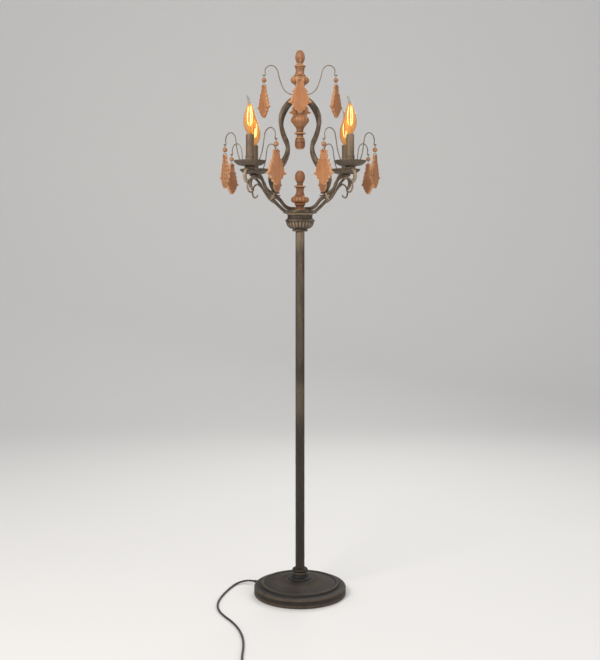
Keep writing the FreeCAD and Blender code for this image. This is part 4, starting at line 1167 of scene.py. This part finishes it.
# ---- candles -----------------------------------------------------------------------------------
@dataclass
class Candles:
    """Cups, drip pans, holders, sleeves, sockets and bulbs."""

    shop: Workshop
    bulb_radius: float = 17.5
    bulb_length: float = 105.0
    glass_marks: tuple[float, ...] = (0.0, 0.05, 0.1, 0.2, 0.31, 0.38, 0.44, 0.58, 0.7, 0.8, 0.9, 0.97, 1.0)
    glass_radii: tuple[float, ...] = (6.6, 8.4, 11.4, 15.8, 17.5, 17.3, 16.4, 12.7, 8.4, 5.0, 3.3, 1.9, 0.6)
    tip_lean: float = -8.6
    stick_azimuths: tuple[float, ...] = (180.0, 72.0, -12.0, -75.0)
    stick_from: float = 23.0
    stick_length: float = 54.0

    def ringed(self, name: str, outline: Outline, segments: int = 72) -> bpy.types.Object:
        """The same turned wall at all four candles.

        Args:
            name: the piece's name.
            outline: a closed outline round the wall.
            segments: steps round.

        Returns:
            The piece.
        """
        profile, skin = trace(outline, 1.2)[:-1], Skin()
        for x, y in CANDLES:
            skin.lathe(profile, segments, None, (x, y, 0.0), bore=True)
        return skin.piece(name)

    def pan(self) -> bpy.types.Object:
        """Drip pans: a flat floor, a shallow curved wall and a rounded rim."""
        return self.ringed("drip_pans_piece", above(PAN_BOTTOM, [
            (STEM_BORE, 0.0), (19.0, 0.0), (33.5, 2.9, 41.6, 9.6), (43.5, 12.3), (43.2, 13.5), (42.4, 13.3),
            (40.6, 10.4), (32.8, 4.4, 19.0, 1.5), (STEM_BORE, 1.5), (STEM_BORE, 0.0)]), segments=96)

    def cup(self) -> bpy.types.Object:
        """Small cups under the pans, above the arm."""
        return self.ringed("candle_cups_piece", above(CUP_BOTTOM, [
            (STEM_BORE, 1.2), (9.0, 1.2), (13.4, 2.4), (14.6, 4.8, 12.2, 7.6), (12.0, 9.0), (STEM_BORE, 9.0),
            (STEM_BORE, 1.2)]))

    def holder(self) -> bpy.types.Object:
        """Sleeve holders with a fine bead at the lip."""
        low, high = PAN_FLOOR, PAN_FLOOR + 26.0
        return self.ringed("sleeve_holders_piece", [
            (STEM_BORE, low), (11.8, low), (11.8, high - 2.6), (12.1, high - 1.8, 11.8, high - 1.0), (11.8, high),
            (10.95, high), (10.95, low + 2.7), (STEM_BORE, low + 2.7), (STEM_BORE, low)])

    def sleeve(self) -> bpy.types.Object:
        """Candle sleeves: slim tubes with an eased lip."""
        low, high = SLEEVE_BOTTOM, SLEEVE_TOP
        return self.ringed("candle_sleeves_piece", [
            (9.7, low), (10.8, low), (10.8, high - 0.6), (10.4, high), (9.9, high), (9.6, high - 0.4), (9.6, low),
            (9.7, low)])

    def bulb(self, number: int, centre: tuple[float, float]) -> None:
        """One bulb: screw base, bent-tip glass, glass stem and four filament sticks.

        The glass is a profile of radii along an axis that leans over near its tip.

        Args:
            number: the bulb's number.
            centre: where it stands.
        """
        body = "bulb_%d" % number
        place = (centre[0], centre[1], 0.0)
        neck = SOCKET_TOP + 1.5
        base = Skin().lathe(trace(above(SOCKET_TOP, [
            (3.0, -24.0), (3.5, -22.0), (6.7, -20.0), (6.7, 1.3), (6.2, 1.5)]), 1.0), 48, centre=place)
        self.shop.fit(base.piece(body + "_base"), Finish.BRASS, "plug_brass", body, body=body)
        share = np.linspace(0.0, 1.0, 90)
        radius = self.smooth(share, self.glass_marks, self.glass_radii) * self.bulb_radius / 17.5
        lean = self.tip_lean * np.clip((share - 0.7) / 0.3, 0.0, 1.0) ** 1.9
        theta = circle(56)
        points = np.stack([
            centre[0] + lean[:, None] + radius[:, None] * np.cos(theta),
            centre[1] + radius[:, None] * np.sin(theta),
            (neck + share * self.bulb_length)[:, None] + 0.0 * theta], axis=-1)
        glass = Skin().grid(points, cap=True)
        self.shop.fit(glass.piece(body + "_glass"), Finish.GLASS, "amber_glass", body, body=body)
        stem = Skin().lathe(trace(above(neck, [
            (4.6, 1.0), (3.0, 8.0), (1.9, 18.0, 1.3, 26.0), (2.0, 28.0, 0.4, 30.0)]), 1.0), 32, centre=place)
        self.shop.fit(stem.piece(body + "_stem"), Finish.GLASS_BEAD, "amber_glass", body, body=body)
        wires = Skin()
        for azimuth in self.stick_azimuths:
            x, y = around(1.0, azimuth)
            side = np.array([-y, x, 0.0])
            share = np.linspace(0.0, 1.0, 24)
            radial = 2.2 + 4.6 * np.sin(np.pi * np.clip(share * 1.1, 0.0, 0.9)) ** 0.6
            height = neck + self.stick_from + self.stick_length * share
            path = np.stack([centre[0] + radial * x, centre[1] + radial * y, height], axis=1)
            thick = 0.25 + 0.5 * np.clip(np.sin(np.pi * share) * 4.0 - 0.4, 0.0, 1.0)
            wires.tube(path, thick, side, 8)
        self.shop.fit(wires.piece(body + "_filaments"), Finish.FILAMENT, "amber_glass", body, body=body)

    @staticmethod
    def smooth(at: np.ndarray, marks: Sequence[float], values: Sequence[float]) -> np.ndarray:
        """Interpolates with a smooth cubic through marks, its slopes taken from the neighbours.

        Args:
            at: where to read.
            marks: rising places of the values.
            values: the values.

        Returns:
            The values at those places.
        """
        marks, values = np.array(marks, float), np.array(values, float)
        slope = np.gradient(values, marks)
        index = np.clip(np.searchsorted(marks, at, side="right") - 1, 0, len(marks) - 2)
        width = marks[index + 1] - marks[index]
        t = (at - marks[index]) / width
        low, high = values[index], values[index + 1]
        return ((2 * t ** 3 - 3 * t ** 2 + 1) * low + (t ** 3 - 2 * t ** 2 + t) * width * slope[index]
                + (3 * t ** 2 - 2 * t ** 3) * high + (t ** 3 - t ** 2) * width * slope[index + 1])

    def build(self) -> None:
        """Builds and dresses every piece."""
        fit = self.shop.fit
        fit(self.cup(), Finish.BRONZE, "bronze_patina", "candle_cups")
        fit(self.pan(), Finish.PAN, "bronze_patina", "drip_pans")
        fit(self.holder(), Finish.SLEEVE, "bronze_patina", "sleeve_holders")
        fit(self.sleeve(), Finish.SLEEVE, "sleeve_patina", "candle_sleeves")
        self.shop.redress("lamp_sockets", Finish.BLACK)
        for number, centre in enumerate(CANDLES, 1):
            self.bulb(number, centre)


# ---- wires and drops ---------------------------------------------------------------------------
@dataclass(frozen=True)
class Hanger:
    """Where a drop hangs: wire's axis and azimuth, where its face looks, and its ease on the ring."""

    name: str
    centre: tuple[float, float]
    azimuth: float
    face: float
    ease: float = 0.0

    @property
    def on_crown(self) -> bool:
        """Whether the wire starts at the column."""
        return self.name.startswith("crown")


BACK_RIGHT, BACK_LEFT, FRONT_LEFT, FRONT_RIGHT = CANDLES
MIDDLE = (0.0, 0.0)
HANGERS = (
    Hanger("crown_right", MIDDLE, 0.0, -24.0, -8.0), Hanger("crown_back", MIDDLE, 90.0, 90.0),
    Hanger("crown_left", MIDDLE, 180.0, -156.0, 8.0), Hanger("crown_front", MIDDLE, 270.0, -90.0),
    Hanger("front_left_outer", FRONT_LEFT, 135.0, -162.0, 8.0),
    Hanger("front_left_inner", FRONT_LEFT, 315.0, -45.0, -8.0),
    Hanger("front_right_outer", FRONT_RIGHT, 45.0, -18.0, -8.0),
    Hanger("front_right_inner", FRONT_RIGHT, 225.0, -135.0, 8.0),
    Hanger("back_left_outer", BACK_LEFT, 135.0, -32.0), Hanger("back_left_inner", BACK_LEFT, 52.0, -25.0),
    Hanger("back_right_outer", BACK_RIGHT, 45.0, -148.0), Hanger("back_right_inner", BACK_RIGHT, 128.0, -155.0),
)
# These show their veined face outward, and the others their plain one.
LEAFY_OUT = ("front_left_outer", "front_right_outer", "crown_back")


@dataclass
class WireArms:
    """Wires that rise from the column and the pans and end in hooks."""

    shop: Workshop
    radius: float = 1.4
    hook: float = 3.2
    flat: float = 2.4
    step: float = 1.2

    def line(self, on_crown: bool) -> tuple[np.ndarray, tuple[float, float]]:
        """One wire's centre line and where its drop hangs.

        Args:
            on_crown: whether it is a wire of the column.

        Returns:
            (radius, height) points, and the hanging point.
        """
        if on_crown:
            points, heading = tangent_arcs((19.2, HUB_TOP - 2.2), 5.0, above(HUB_TOP, [
                (48.8, 19.3), (61.2, 59.2), (67.2, 72.8), (96.6, 55.9)]), self.step)
        else:
            level = PAN_FLOOR + self.radius + 0.1
            points, heading = tangent_arcs((22.0, level), 0.0, above(level, [
                (34.0, 6.1), (53.1, 51.5), (57.5, 74.0), (72.0, 90.5), (97.3, 64.4)]), self.step)
            points = np.concatenate([[[12.0, level]], points])
        centre = points[-1] + self.hook * direction(heading + 90.0)
        low = centre - np.array([0.0, self.hook])
        first = math.radians(heading - 90.0)
        angles = np.linspace(first, math.radians(-90.0), 12)[1:]
        bend = centre + self.hook * np.stack([np.cos(angles), np.sin(angles)], axis=1)
        other = centre + np.array([self.flat, 0.0])
        angles = np.radians(np.linspace(-90.0, -12.0, 9))
        rise = other + self.hook * np.stack([np.cos(angles), np.sin(angles)], axis=1)
        return np.concatenate([points, bend, rise]), (float(low[0]) + self.flat / 2, float(low[1]))

    def build(self) -> dict[str, Triple]:
        """Builds both sets of wires.

        Returns:
            Each hanger's hanging point.
        """
        hangs: dict[str, Triple] = {}
        for on_crown, node in ((True, "crown_wires"), (False, "pan_wires")):
            points, hang = self.line(on_crown)
            radii = np.full(len(points), self.radius)
            radii[-3:] *= (0.98, 0.9, 0.7)
            bar, skin = Skin().tube(upright(points), radii, ACROSS, 14), Skin()
            for hanger in HANGERS:
                if hanger.on_crown != on_crown:
                    continue
                skin.take(bar, hanger.azimuth, (*hanger.centre, 0.0))
                x, y = around(hang[0], hanger.azimuth)
                hangs[hanger.name] = (hanger.centre[0] + x, hanger.centre[1] + y, hang[1])
            self.shop.fit(skin.piece(node + "_piece", 60.0), Finish.WIRE, "bronze_patina", node)
        return hangs


@dataclass
class Drops:
    """Eye pins with beads, and the carved wooden drops below them."""

    shop: Workshop
    bead_depth: float = 12.85
    bead_radius: float = 6.7
    bead_height: float = 12.4
    eye: float = 3.0
    ring: float = 5.3
    ring_depth: float = 15.1
    pin: float = 0.7
    hole: float = 2.3
    hole_depth: float = 6.6
    edge_half: float = 3.0
    vein_pitch: float = 7.4
    vein_depth: float = 2.0
    half_outline: Outline = (
        (3.0, 0.0), (8.6, 1.6, 10.4, 7.0), (8.9, 10.4), (11.4, 15.8, 10.6, 21.4), (11.2, 23.0),
        (16.0, 26.0, 16.6, 32.2), (15.6, 34.4), (20.6, 37.8, 20.8, 43.6), (19.8, 45.6), (24.4, 49.4, 24.2, 54.4),
        (25.8, 57.8, 31.0, 60.2), (31.4, 63.0, 29.0, 65.4), (24.4, 66.2, 21.6, 68.4), (20.2, 69.8),
        (20.2, 74.8, 15.4, 77.0), (13.6, 78.2), (12.8, 83.4, 8.4, 85.6), (6.8, 87.0), (4.8, 90.4, 1.2, 92.0))

    def pin_and_bead(self, hanger: Hanger, point: Triple) -> None:
        """The eye pin, of round wire, and its turned bead.

        Args:
            hanger: which hanger.
            point: where it hangs.
        """
        axis = np.array([*around(1.0, hanger.azimuth), 0.0])
        width = np.array([*around(1.0, hanger.face + 90.0), 0.0])
        place = np.array(point)
        eye = place - np.array([0.0, 0.0, 0.5])
        low = place - np.array([0.0, 0.0, self.bead_depth + self.ring_depth])
        shank = np.stack([eye - np.array([0.0, 0.0, self.eye]), low + np.array([0.0, 0.0, self.ring])])
        shank = shank[0] + (shank[1] - shank[0]) * np.linspace(0.0, 1.0, 8)[:, None]
        pin = Skin().torus(eye, axis, self.eye, self.pin, 32, 10).torus(low, width, self.ring, self.pin, 40, 10)
        pin.tube(shank, np.full(8, self.pin), axis, 10)
        body = "link_" + hanger.name
        self.shop.fit(pin.piece(body + "_pin"), Finish.WIRE, "bronze_patina", body, body=body)
        half = self.bead_height / 2
        outline = [(0.75, -half), (2.0, -half), (5.3, -half * 0.66, self.bead_radius, 0.0),
                   (5.3, half * 0.66, 2.0, half), (0.75, half), (0.75, -half)]
        middle = (point[0], point[1], point[2] - self.bead_depth)
        bead = Skin().lathe(trace(outline, 0.5)[:-1], 40, None, middle, bore=True)
        self.shop.fit(bead.piece(body + "_bead"), Finish.WOOD, "turned_wood", body, body=body)

    def carving(self, leafy: bool) -> np.ndarray:
        """One face of the carved form: outline points drawn in to a spine, raised by a stepped section.

        In the plane, a point is outline x (1 - k) + spine x k; its height is the section at k, and k
        runs from 0 at the edge to 1 on the spine. A leafy face also drops between slanting veins by
        vein_depth x (1 - |sin| ^ 0.7) of the depth less 0.8 x the width.

        Args:
            leafy: whether the face has veins.

        Returns:
            A levels by points by 3 array (thickness, width, depth).
        """
        half = trace(self.half_outline, 0.9)
        mirror = half[::-1] * np.array([-1.0, 1.0])
        loop = np.concatenate([half, mirror])
        spine = np.stack([np.zeros(len(loop)), np.clip(loop[:, 1], 10.0, 80.0)], axis=1)
        levels = np.array([0.0, 0.02, 0.06, 0.12, 0.17, 0.19, 0.21, 0.26, 0.31, 0.36, 0.385, 0.41, 0.46, 0.52,
                           0.58, 0.64, 0.7, 0.76, 0.82, 0.88, 0.94, 1.0])
        marks = [0.0, 0.02, 0.06, 0.17, 0.21, 0.36, 0.41, 0.88, 1.0]
        steps = ([2.0, 2.7, 2.9, 2.5, 4.3, 4.0, 5.3, 5.0, 5.5] if leafy
                 else [2.0, 3.0, 4.3, 4.7, 5.0, 5.2, 5.3, 5.4, 5.5])
        section = np.interp(levels, marks, steps)
        flat = loop[None, :, :] * (1 - levels[:, None, None]) + spine[None, :, :] * levels[:, None, None]
        thick = np.clip((flat[..., 1] - 14.0) / 12.0, 0.0, 1.0)
        thick = thick * thick * (3 - 2 * thick)
        low = np.minimum(section, self.edge_half)[:, None]
        height = low + (section[:, None] - low) * thick
        if leafy:
            window = np.clip((levels - 0.1) / 0.12, 0.0, 1.0) * np.clip((0.98 - levels) / 0.1, 0.0, 1.0)
            wave = np.abs(np.sin(np.pi * (flat[..., 1] - 0.8 * np.abs(flat[..., 0])) / self.vein_pitch))
            height = height - self.vein_depth * window[:, None] * thick * (1.0 - wave ** 0.7)
        return np.concatenate([height[..., None], flat], axis=-1)

    def blank(self) -> bpy.types.Object:
        """One carved drop about its hole, with the hole cut through.

        Returns:
            A helper object whose mesh the twelve drops copy.
        """
        centre = np.array([0.0, 0.0, self.hole_depth])
        front, back = ((self.carving(leafy) * np.array([side, 1.0, -1.0]) + centre)
                       for leafy, side in ((True, 1.0), (False, -1.0)))
        solid = Skin().grid(np.concatenate([front[::-1], back])).piece("drop_blank", 24.0)
        drill = np.array([[-8.0, 0, 0], [0, 0, 0], [8.0, 0, 0]])
        cutter = Skin().tube(drill, np.full(3, self.hole), ACROSS, 32).piece("drop_drill")
        cut = solid.modifiers.new("hole", "BOOLEAN")
        cut.operation = "DIFFERENCE"
        cut.solver = "EXACT"
        cut.object = cutter
        graph = bpy.context.evaluated_depsgraph_get()
        mesh = bpy.data.meshes.new_from_object(solid.evaluated_get(graph))
        mesh.attributes.remove(mesh.attributes["relief"])
        mark_relief(mesh, 9)
        bpy.data.objects.remove(cutter)
        bpy.data.objects.remove(solid)
        return bpy.data.objects.new("drop_pattern", mesh)

    def build(self, hangs: dict[str, Triple]) -> None:
        """Builds and dresses the links and drops.

        Args:
            hangs: each hanger's hanging point.
        """
        pattern = self.blank()
        depth = self.bead_depth + self.ring_depth + self.ring
        shape = read(pattern.data.vertices, "co", 3) / MM
        for hanger in HANGERS:
            point = hangs[hanger.name]
            self.pin_and_bead(hanger, point)
            mesh = pattern.data.copy()
            mesh.name = "drop_" + hanger.name
            turn = hanger.face + hanger.ease + (0.0 if hanger.name in LEAFY_OUT else 180.0)
            moved = placed(shape, turn, (point[0], point[1], point[2] - depth)) * MM
            mesh.vertices.foreach_set("co", moved.ravel())
            mesh.update()
            drop = added("drop_%s_piece" % hanger.name, mesh)
            body = "drop_" + hanger.name
            self.shop.fit(drop, Finish.CARVED, "turned_wood", body, body=body)
        bpy.data.objects.remove(pattern)


# ---- cord --------------------------------------------------------------------------------------
@dataclass
class Cord:
    """Dark flex from the base's back, laid on the floor, with its spare length coiled."""

    shop: Workshop
    radius: float = 2.75
    azimuth: float = 150.0
    first_run: float = 17.5
    exit_height: float = 9.0
    relief_length: float = 22.0
    turns: int = 6
    coil_radius: float = 38.0
    pitch: float = 6.1
    coil_centre: tuple[float, float] = (-92.0, -562.0)
    start_run: float = 12.0
    end_run: float = 26.0
    entry_run: float = 46.0
    steps_per_turn: int = 16
    floor: float = 2.8
    laid: Outline = (
        (-164.0, 83.4), (-182.5, 71.4), (-195.0, 44.0), (-208.0, 2.0), (-219.5, -46.0), (-224.0, -94.0),
        (-217.0, -142.0), (-198.0, -184.0), (-174.0, -224.0), (-153.0, -276.0), (-140.0, -334.0),
        (-136.0, -390.0), (-137.0, -446.0))

    def coil(self, angle: np.ndarray) -> tuple[np.ndarray, np.ndarray]:
        """Places and headings on the coil: the radius falls steadily to the middle, then grows again.

        The height climbs one layer in the half turn at the middle, along a cosine.

        Args:
            angle: angles along the coil from its start.

        Returns:
            Points and unit headings, each an n by 3 array.
        """
        total = 2 * np.pi * self.turns
        rate = self.pitch / (2 * np.pi)
        inward = angle < total / 2
        radius = self.coil_radius - rate * np.where(inward, angle, total - angle)
        slope = np.where(inward, -rate, rate)
        climb = np.clip((angle - total / 2) / np.pi + 0.5, 0.0, 1.0)
        height = self.floor + self.pitch * (1 - np.cos(np.pi * climb)) / 2
        polar = np.pi + angle
        x, y = self.coil_centre
        place = np.stack([x + radius * np.cos(polar), y + radius * np.sin(polar), height], axis=-1)
        heading = np.stack([slope * np.cos(polar) - radius * np.sin(polar),
                            slope * np.sin(polar) + radius * np.cos(polar), 0.0 * polar], axis=-1)
        return place, heading / np.linalg.norm(heading, axis=-1)[..., None]

    def route(self) -> np.ndarray:
        """The spline's control points: the laid stretch, then the coil's.

        A spline runs inside its control points, so the coil's are moved out by 1 / cos squared of a quarter
        of the angle between two of them, which keeps the curve near the coil's radius.

        Returns:
            An n by 3 array in millimetres.
        """
        out = np.array([*around(1.0, self.azimuth), 0.0])
        leave = out * (BASE_RADIUS + self.relief_length) + np.array([0.0, 0.0, self.exit_height])
        heights = [6.4, self.floor + 1.0] + [self.floor] * (len(self.laid) - 2)
        laid = [np.array([x, y, height]) for (x, y), height in zip(self.laid, heights)]
        angles = np.linspace(0.0, 2 * np.pi * self.turns, self.steps_per_turn * self.turns + 1)
        places, headings = self.coil(angles)
        entry = places[0] - headings[0] * self.start_run
        leaving = places[-1] + headings[-1] * self.end_run
        grown = 1.0 / math.cos(math.pi / (2 * self.steps_per_turn)) ** 2
        centre = np.array([*self.coil_centre, 0.0])
        places[1:-1, :2] = centre[:2] + (places[1:-1, :2] - centre[:2]) * grown
        return np.array([leave, leave + out * self.first_run, *laid, entry - headings[0] * self.entry_run, entry,
                         *places, leaving])

    def flex(self) -> bpy.types.Object:
        """The whole cord as one round NURBS curve.

        Returns:
            The curve object.
        """
        points = self.route() * MM
        curve = bpy.data.curves.new("cord_flex", "CURVE")
        curve.dimensions = "3D"
        spline = curve.splines.new("NURBS")
        spline.points.add(len(points) - 1)
        spline.points.foreach_set("co", np.column_stack([points, np.ones(len(points))]).ravel())
        spline.points.foreach_set("radius", np.full(len(points), self.radius * MM))
        spline.order_u = 3
        spline.use_endpoint_u = True
        spline.resolution_u = 6
        curve.bevel_depth = 1.0
        curve.bevel_resolution = 4
        curve.use_fill_caps = True
        return added("cord_flex", curve)

    def length(self, flex: bpy.types.Object) -> float:
        """Length of the curve's own line, read from it with its bevel taken off.

        Args:
            flex: the curve object.

        Returns:
            Metres.
        """
        depth = flex.data.bevel_depth
        flex.data.bevel_depth = 0.0
        graph = bpy.context.evaluated_depsgraph_get()
        line = bpy.data.meshes.new_from_object(flex.evaluated_get(graph))
        flex.data.bevel_depth = depth
        spots = read(line.vertices, "co", 3)
        bpy.data.meshes.remove(line)
        return float(np.linalg.norm(np.diff(spots, axis=0), axis=1).sum())

    def relief(self) -> bpy.types.Object:
        """Tapered strain relief: a flange at the wall and six soft ribs that thin towards the cord.

        Returns:
            The piece.
        """
        wall = BASE_RADIUS
        along = np.concatenate([[-3.9, -0.1, 0.1, 2.1, 2.3], np.linspace(2.4, self.relief_length, 60)])
        ribs = np.interp(along, [2.3, self.relief_length], [5.6, 3.7])
        ribs = ribs - 0.45 * (np.sin((along - 2.4) * 2 * np.pi / 3.2) < -0.1) * (along > 3.0)
        size = np.where(along < 0.0, 5.5, np.where(along <= 2.2, 7.0, ribs))
        path = np.stack([wall + along, 0 * along, np.full(len(along), self.exit_height)], axis=1)
        bar = Skin().tube(path, size, ACROSS, 36)
        return Skin().take(bar, self.azimuth).piece("strain_relief_piece", 40.0)

    def plug(self) -> bpy.types.Object:
        """Moulded plug: a tapered neck that swells into a flat-sided grip.

        Returns:
            The piece.
        """
        place, heading = self.coil(np.array([2 * np.pi * self.turns]))
        start, ahead = place[0] + heading[0] * self.end_run, heading[0]
        along = np.array([0.0, 0.6, 4.0, 9.0, 12.0, 14.0, 20.0, 30.0, 36.5, 37.6, 38.0])
        size = np.array([3.9, 4.4, 4.6, 6.2, 7.6, 8.4, 8.7, 8.3, 8.6, 8.2, 7.6])
        side = np.array([-ahead[1], ahead[0], 0.0])
        return Skin().tube(start + along[:, None] * ahead, size, side, 36).piece("plug_body_piece", 50.0)

    def build(self) -> None:
        """Builds the cord and what is on it."""
        self.shop.fit(self.relief(), Finish.CORD, "cord_dark", "strain_relief")
        plug = self.shop.fit(self.plug(), Finish.CORD, "cord_dark", "plug_body")
        self.shop.redress("plug_blades", Finish.BRASS)
        flex = self.shop.fit(self.flex(), Finish.CORD, "cord_dark", "cord_lead", "cord_coil")
        length = self.length(flex)
        LOG.info("cord length %.3f m", length)
        exit_point = tuple(self.route()[0] * MM)


# ---- studio ------------------------------------------------------------------------------------
@dataclass
class Studio:
    """Pale floor and backdrop, soft lamps and the camera."""

    focal_px: float = 990.0
    frame_height: float = 660.0
    horizon: float = 255.0
    distance: float = 2.772
    height: float = 0.947
    sensor: float = 24.0
    floor_half_width: float = 7.0
    floor_columns: int = 15
    floor_gap: float = 0.0002

    def camera(self) -> None:
        """Level camera whose frame is moved down to where the photograph's is."""
        data = bpy.data.cameras.new("camera")
        data.sensor_fit = "VERTICAL"
        data.sensor_height = self.sensor
        data.lens = self.focal_px * self.sensor / self.frame_height
        data.shift_y = (self.horizon - self.frame_height / 2) / self.frame_height
        camera = added("camera", data)
        camera.location = (0.0, -self.distance, self.height)
        camera.rotation_euler = (math.radians(90.0), 0.0, 0.0)
        bpy.context.scene.camera = camera

    def floor(self) -> None:
        """Floor that curves up into a backdrop: a profile carried along X."""
        profile = trace([(-5.0, 0.0), (2.6, 0.0), (3.66, 0.44, 4.1, 1.5), (4.1, 5.0)], 0.25)
        x = np.linspace(-self.floor_half_width, self.floor_half_width, self.floor_columns)
        y, z = (np.repeat(part, self.floor_columns, axis=1) for part in (profile[:, :1], profile[:, 1:]))
        points = np.stack([np.repeat(x[None, :], len(profile), axis=0), y, z - self.floor_gap], axis=-1)
        floor = Skin().grid(points / MM, close_columns=False).piece("studio_floor", 60.0)
        bench = Bench("studio_paper")
        floor.data.materials.append(bench.finish(Base_Color=(0.78, 0.77, 0.755), Roughness=0.9))

    def lamp(self, name: str, place: Triple, aim: Triple, size: float,
             power: float, colour: Triple) -> None:
        """A soft square lamp that looks at a point.

        Args:
            name: its name.
            place: where it stands.
            aim: what it looks at.
            size: its side in metres.
            power: watts.
            colour: its colour.
        """
        data = bpy.data.lights.new(name, "AREA")
        data.size = size
        data.energy = power
        data.color = colour
        lamp = added(name, data)
        gap = np.array(place) - np.array(aim)
        lamp.location = place
        flat = math.hypot(gap[0], gap[1])
        lamp.rotation_euler = (math.atan2(flat, gap[2]), 0.0, math.atan2(gap[0], -gap[1]) if flat else 0.0)

    def build(self) -> None:
        """Sets up camera, floor, lamps and world."""
        self.camera()
        self.floor()
        self.lamp("key", (-1.6, -2.2, 2.6), (0.0, 0.0, 1.0), 1.6, 78.0, (1.0, 0.96, 0.91))
        self.lamp("fill", (2.2, -1.8, 1.6), (0.0, 0.0, 0.9), 2.0, 24.0, (1.0, 0.97, 0.94))
        self.lamp("rim", (0.6, 1.9, 2.4), (0.0, 0.0, 1.1), 1.4, 30.0, (1.0, 0.98, 0.96))
        world = bpy.data.worlds.new("studio_world")
        world.use_nodes = True
        background = world.node_tree.nodes["Background"]
        background.inputs[0].default_value = (0.95, 0.97, 1.0, 1.0)
        background.inputs[1].default_value = 0.47
        bpy.context.scene.world = world
        bpy.context.scene.view_settings.view_transform = "Standard"


def main() -> None:
    """Builds the lamp part by part, then the studio."""
    logging.basicConfig(level=logging.INFO, format="%(message)s")
    shop = Workshop()
    BaseAndPole(shop).build()
    Stack(shop).build()
    ForgedArms(shop).build()
    Lyre(shop).build()
    Candles(shop).build()
    hangs = WireArms(shop).build()
    Drops(shop).build(hangs)
    Cord(shop).build()
    Studio().build()
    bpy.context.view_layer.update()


if __name__ == "__main__":
    main()
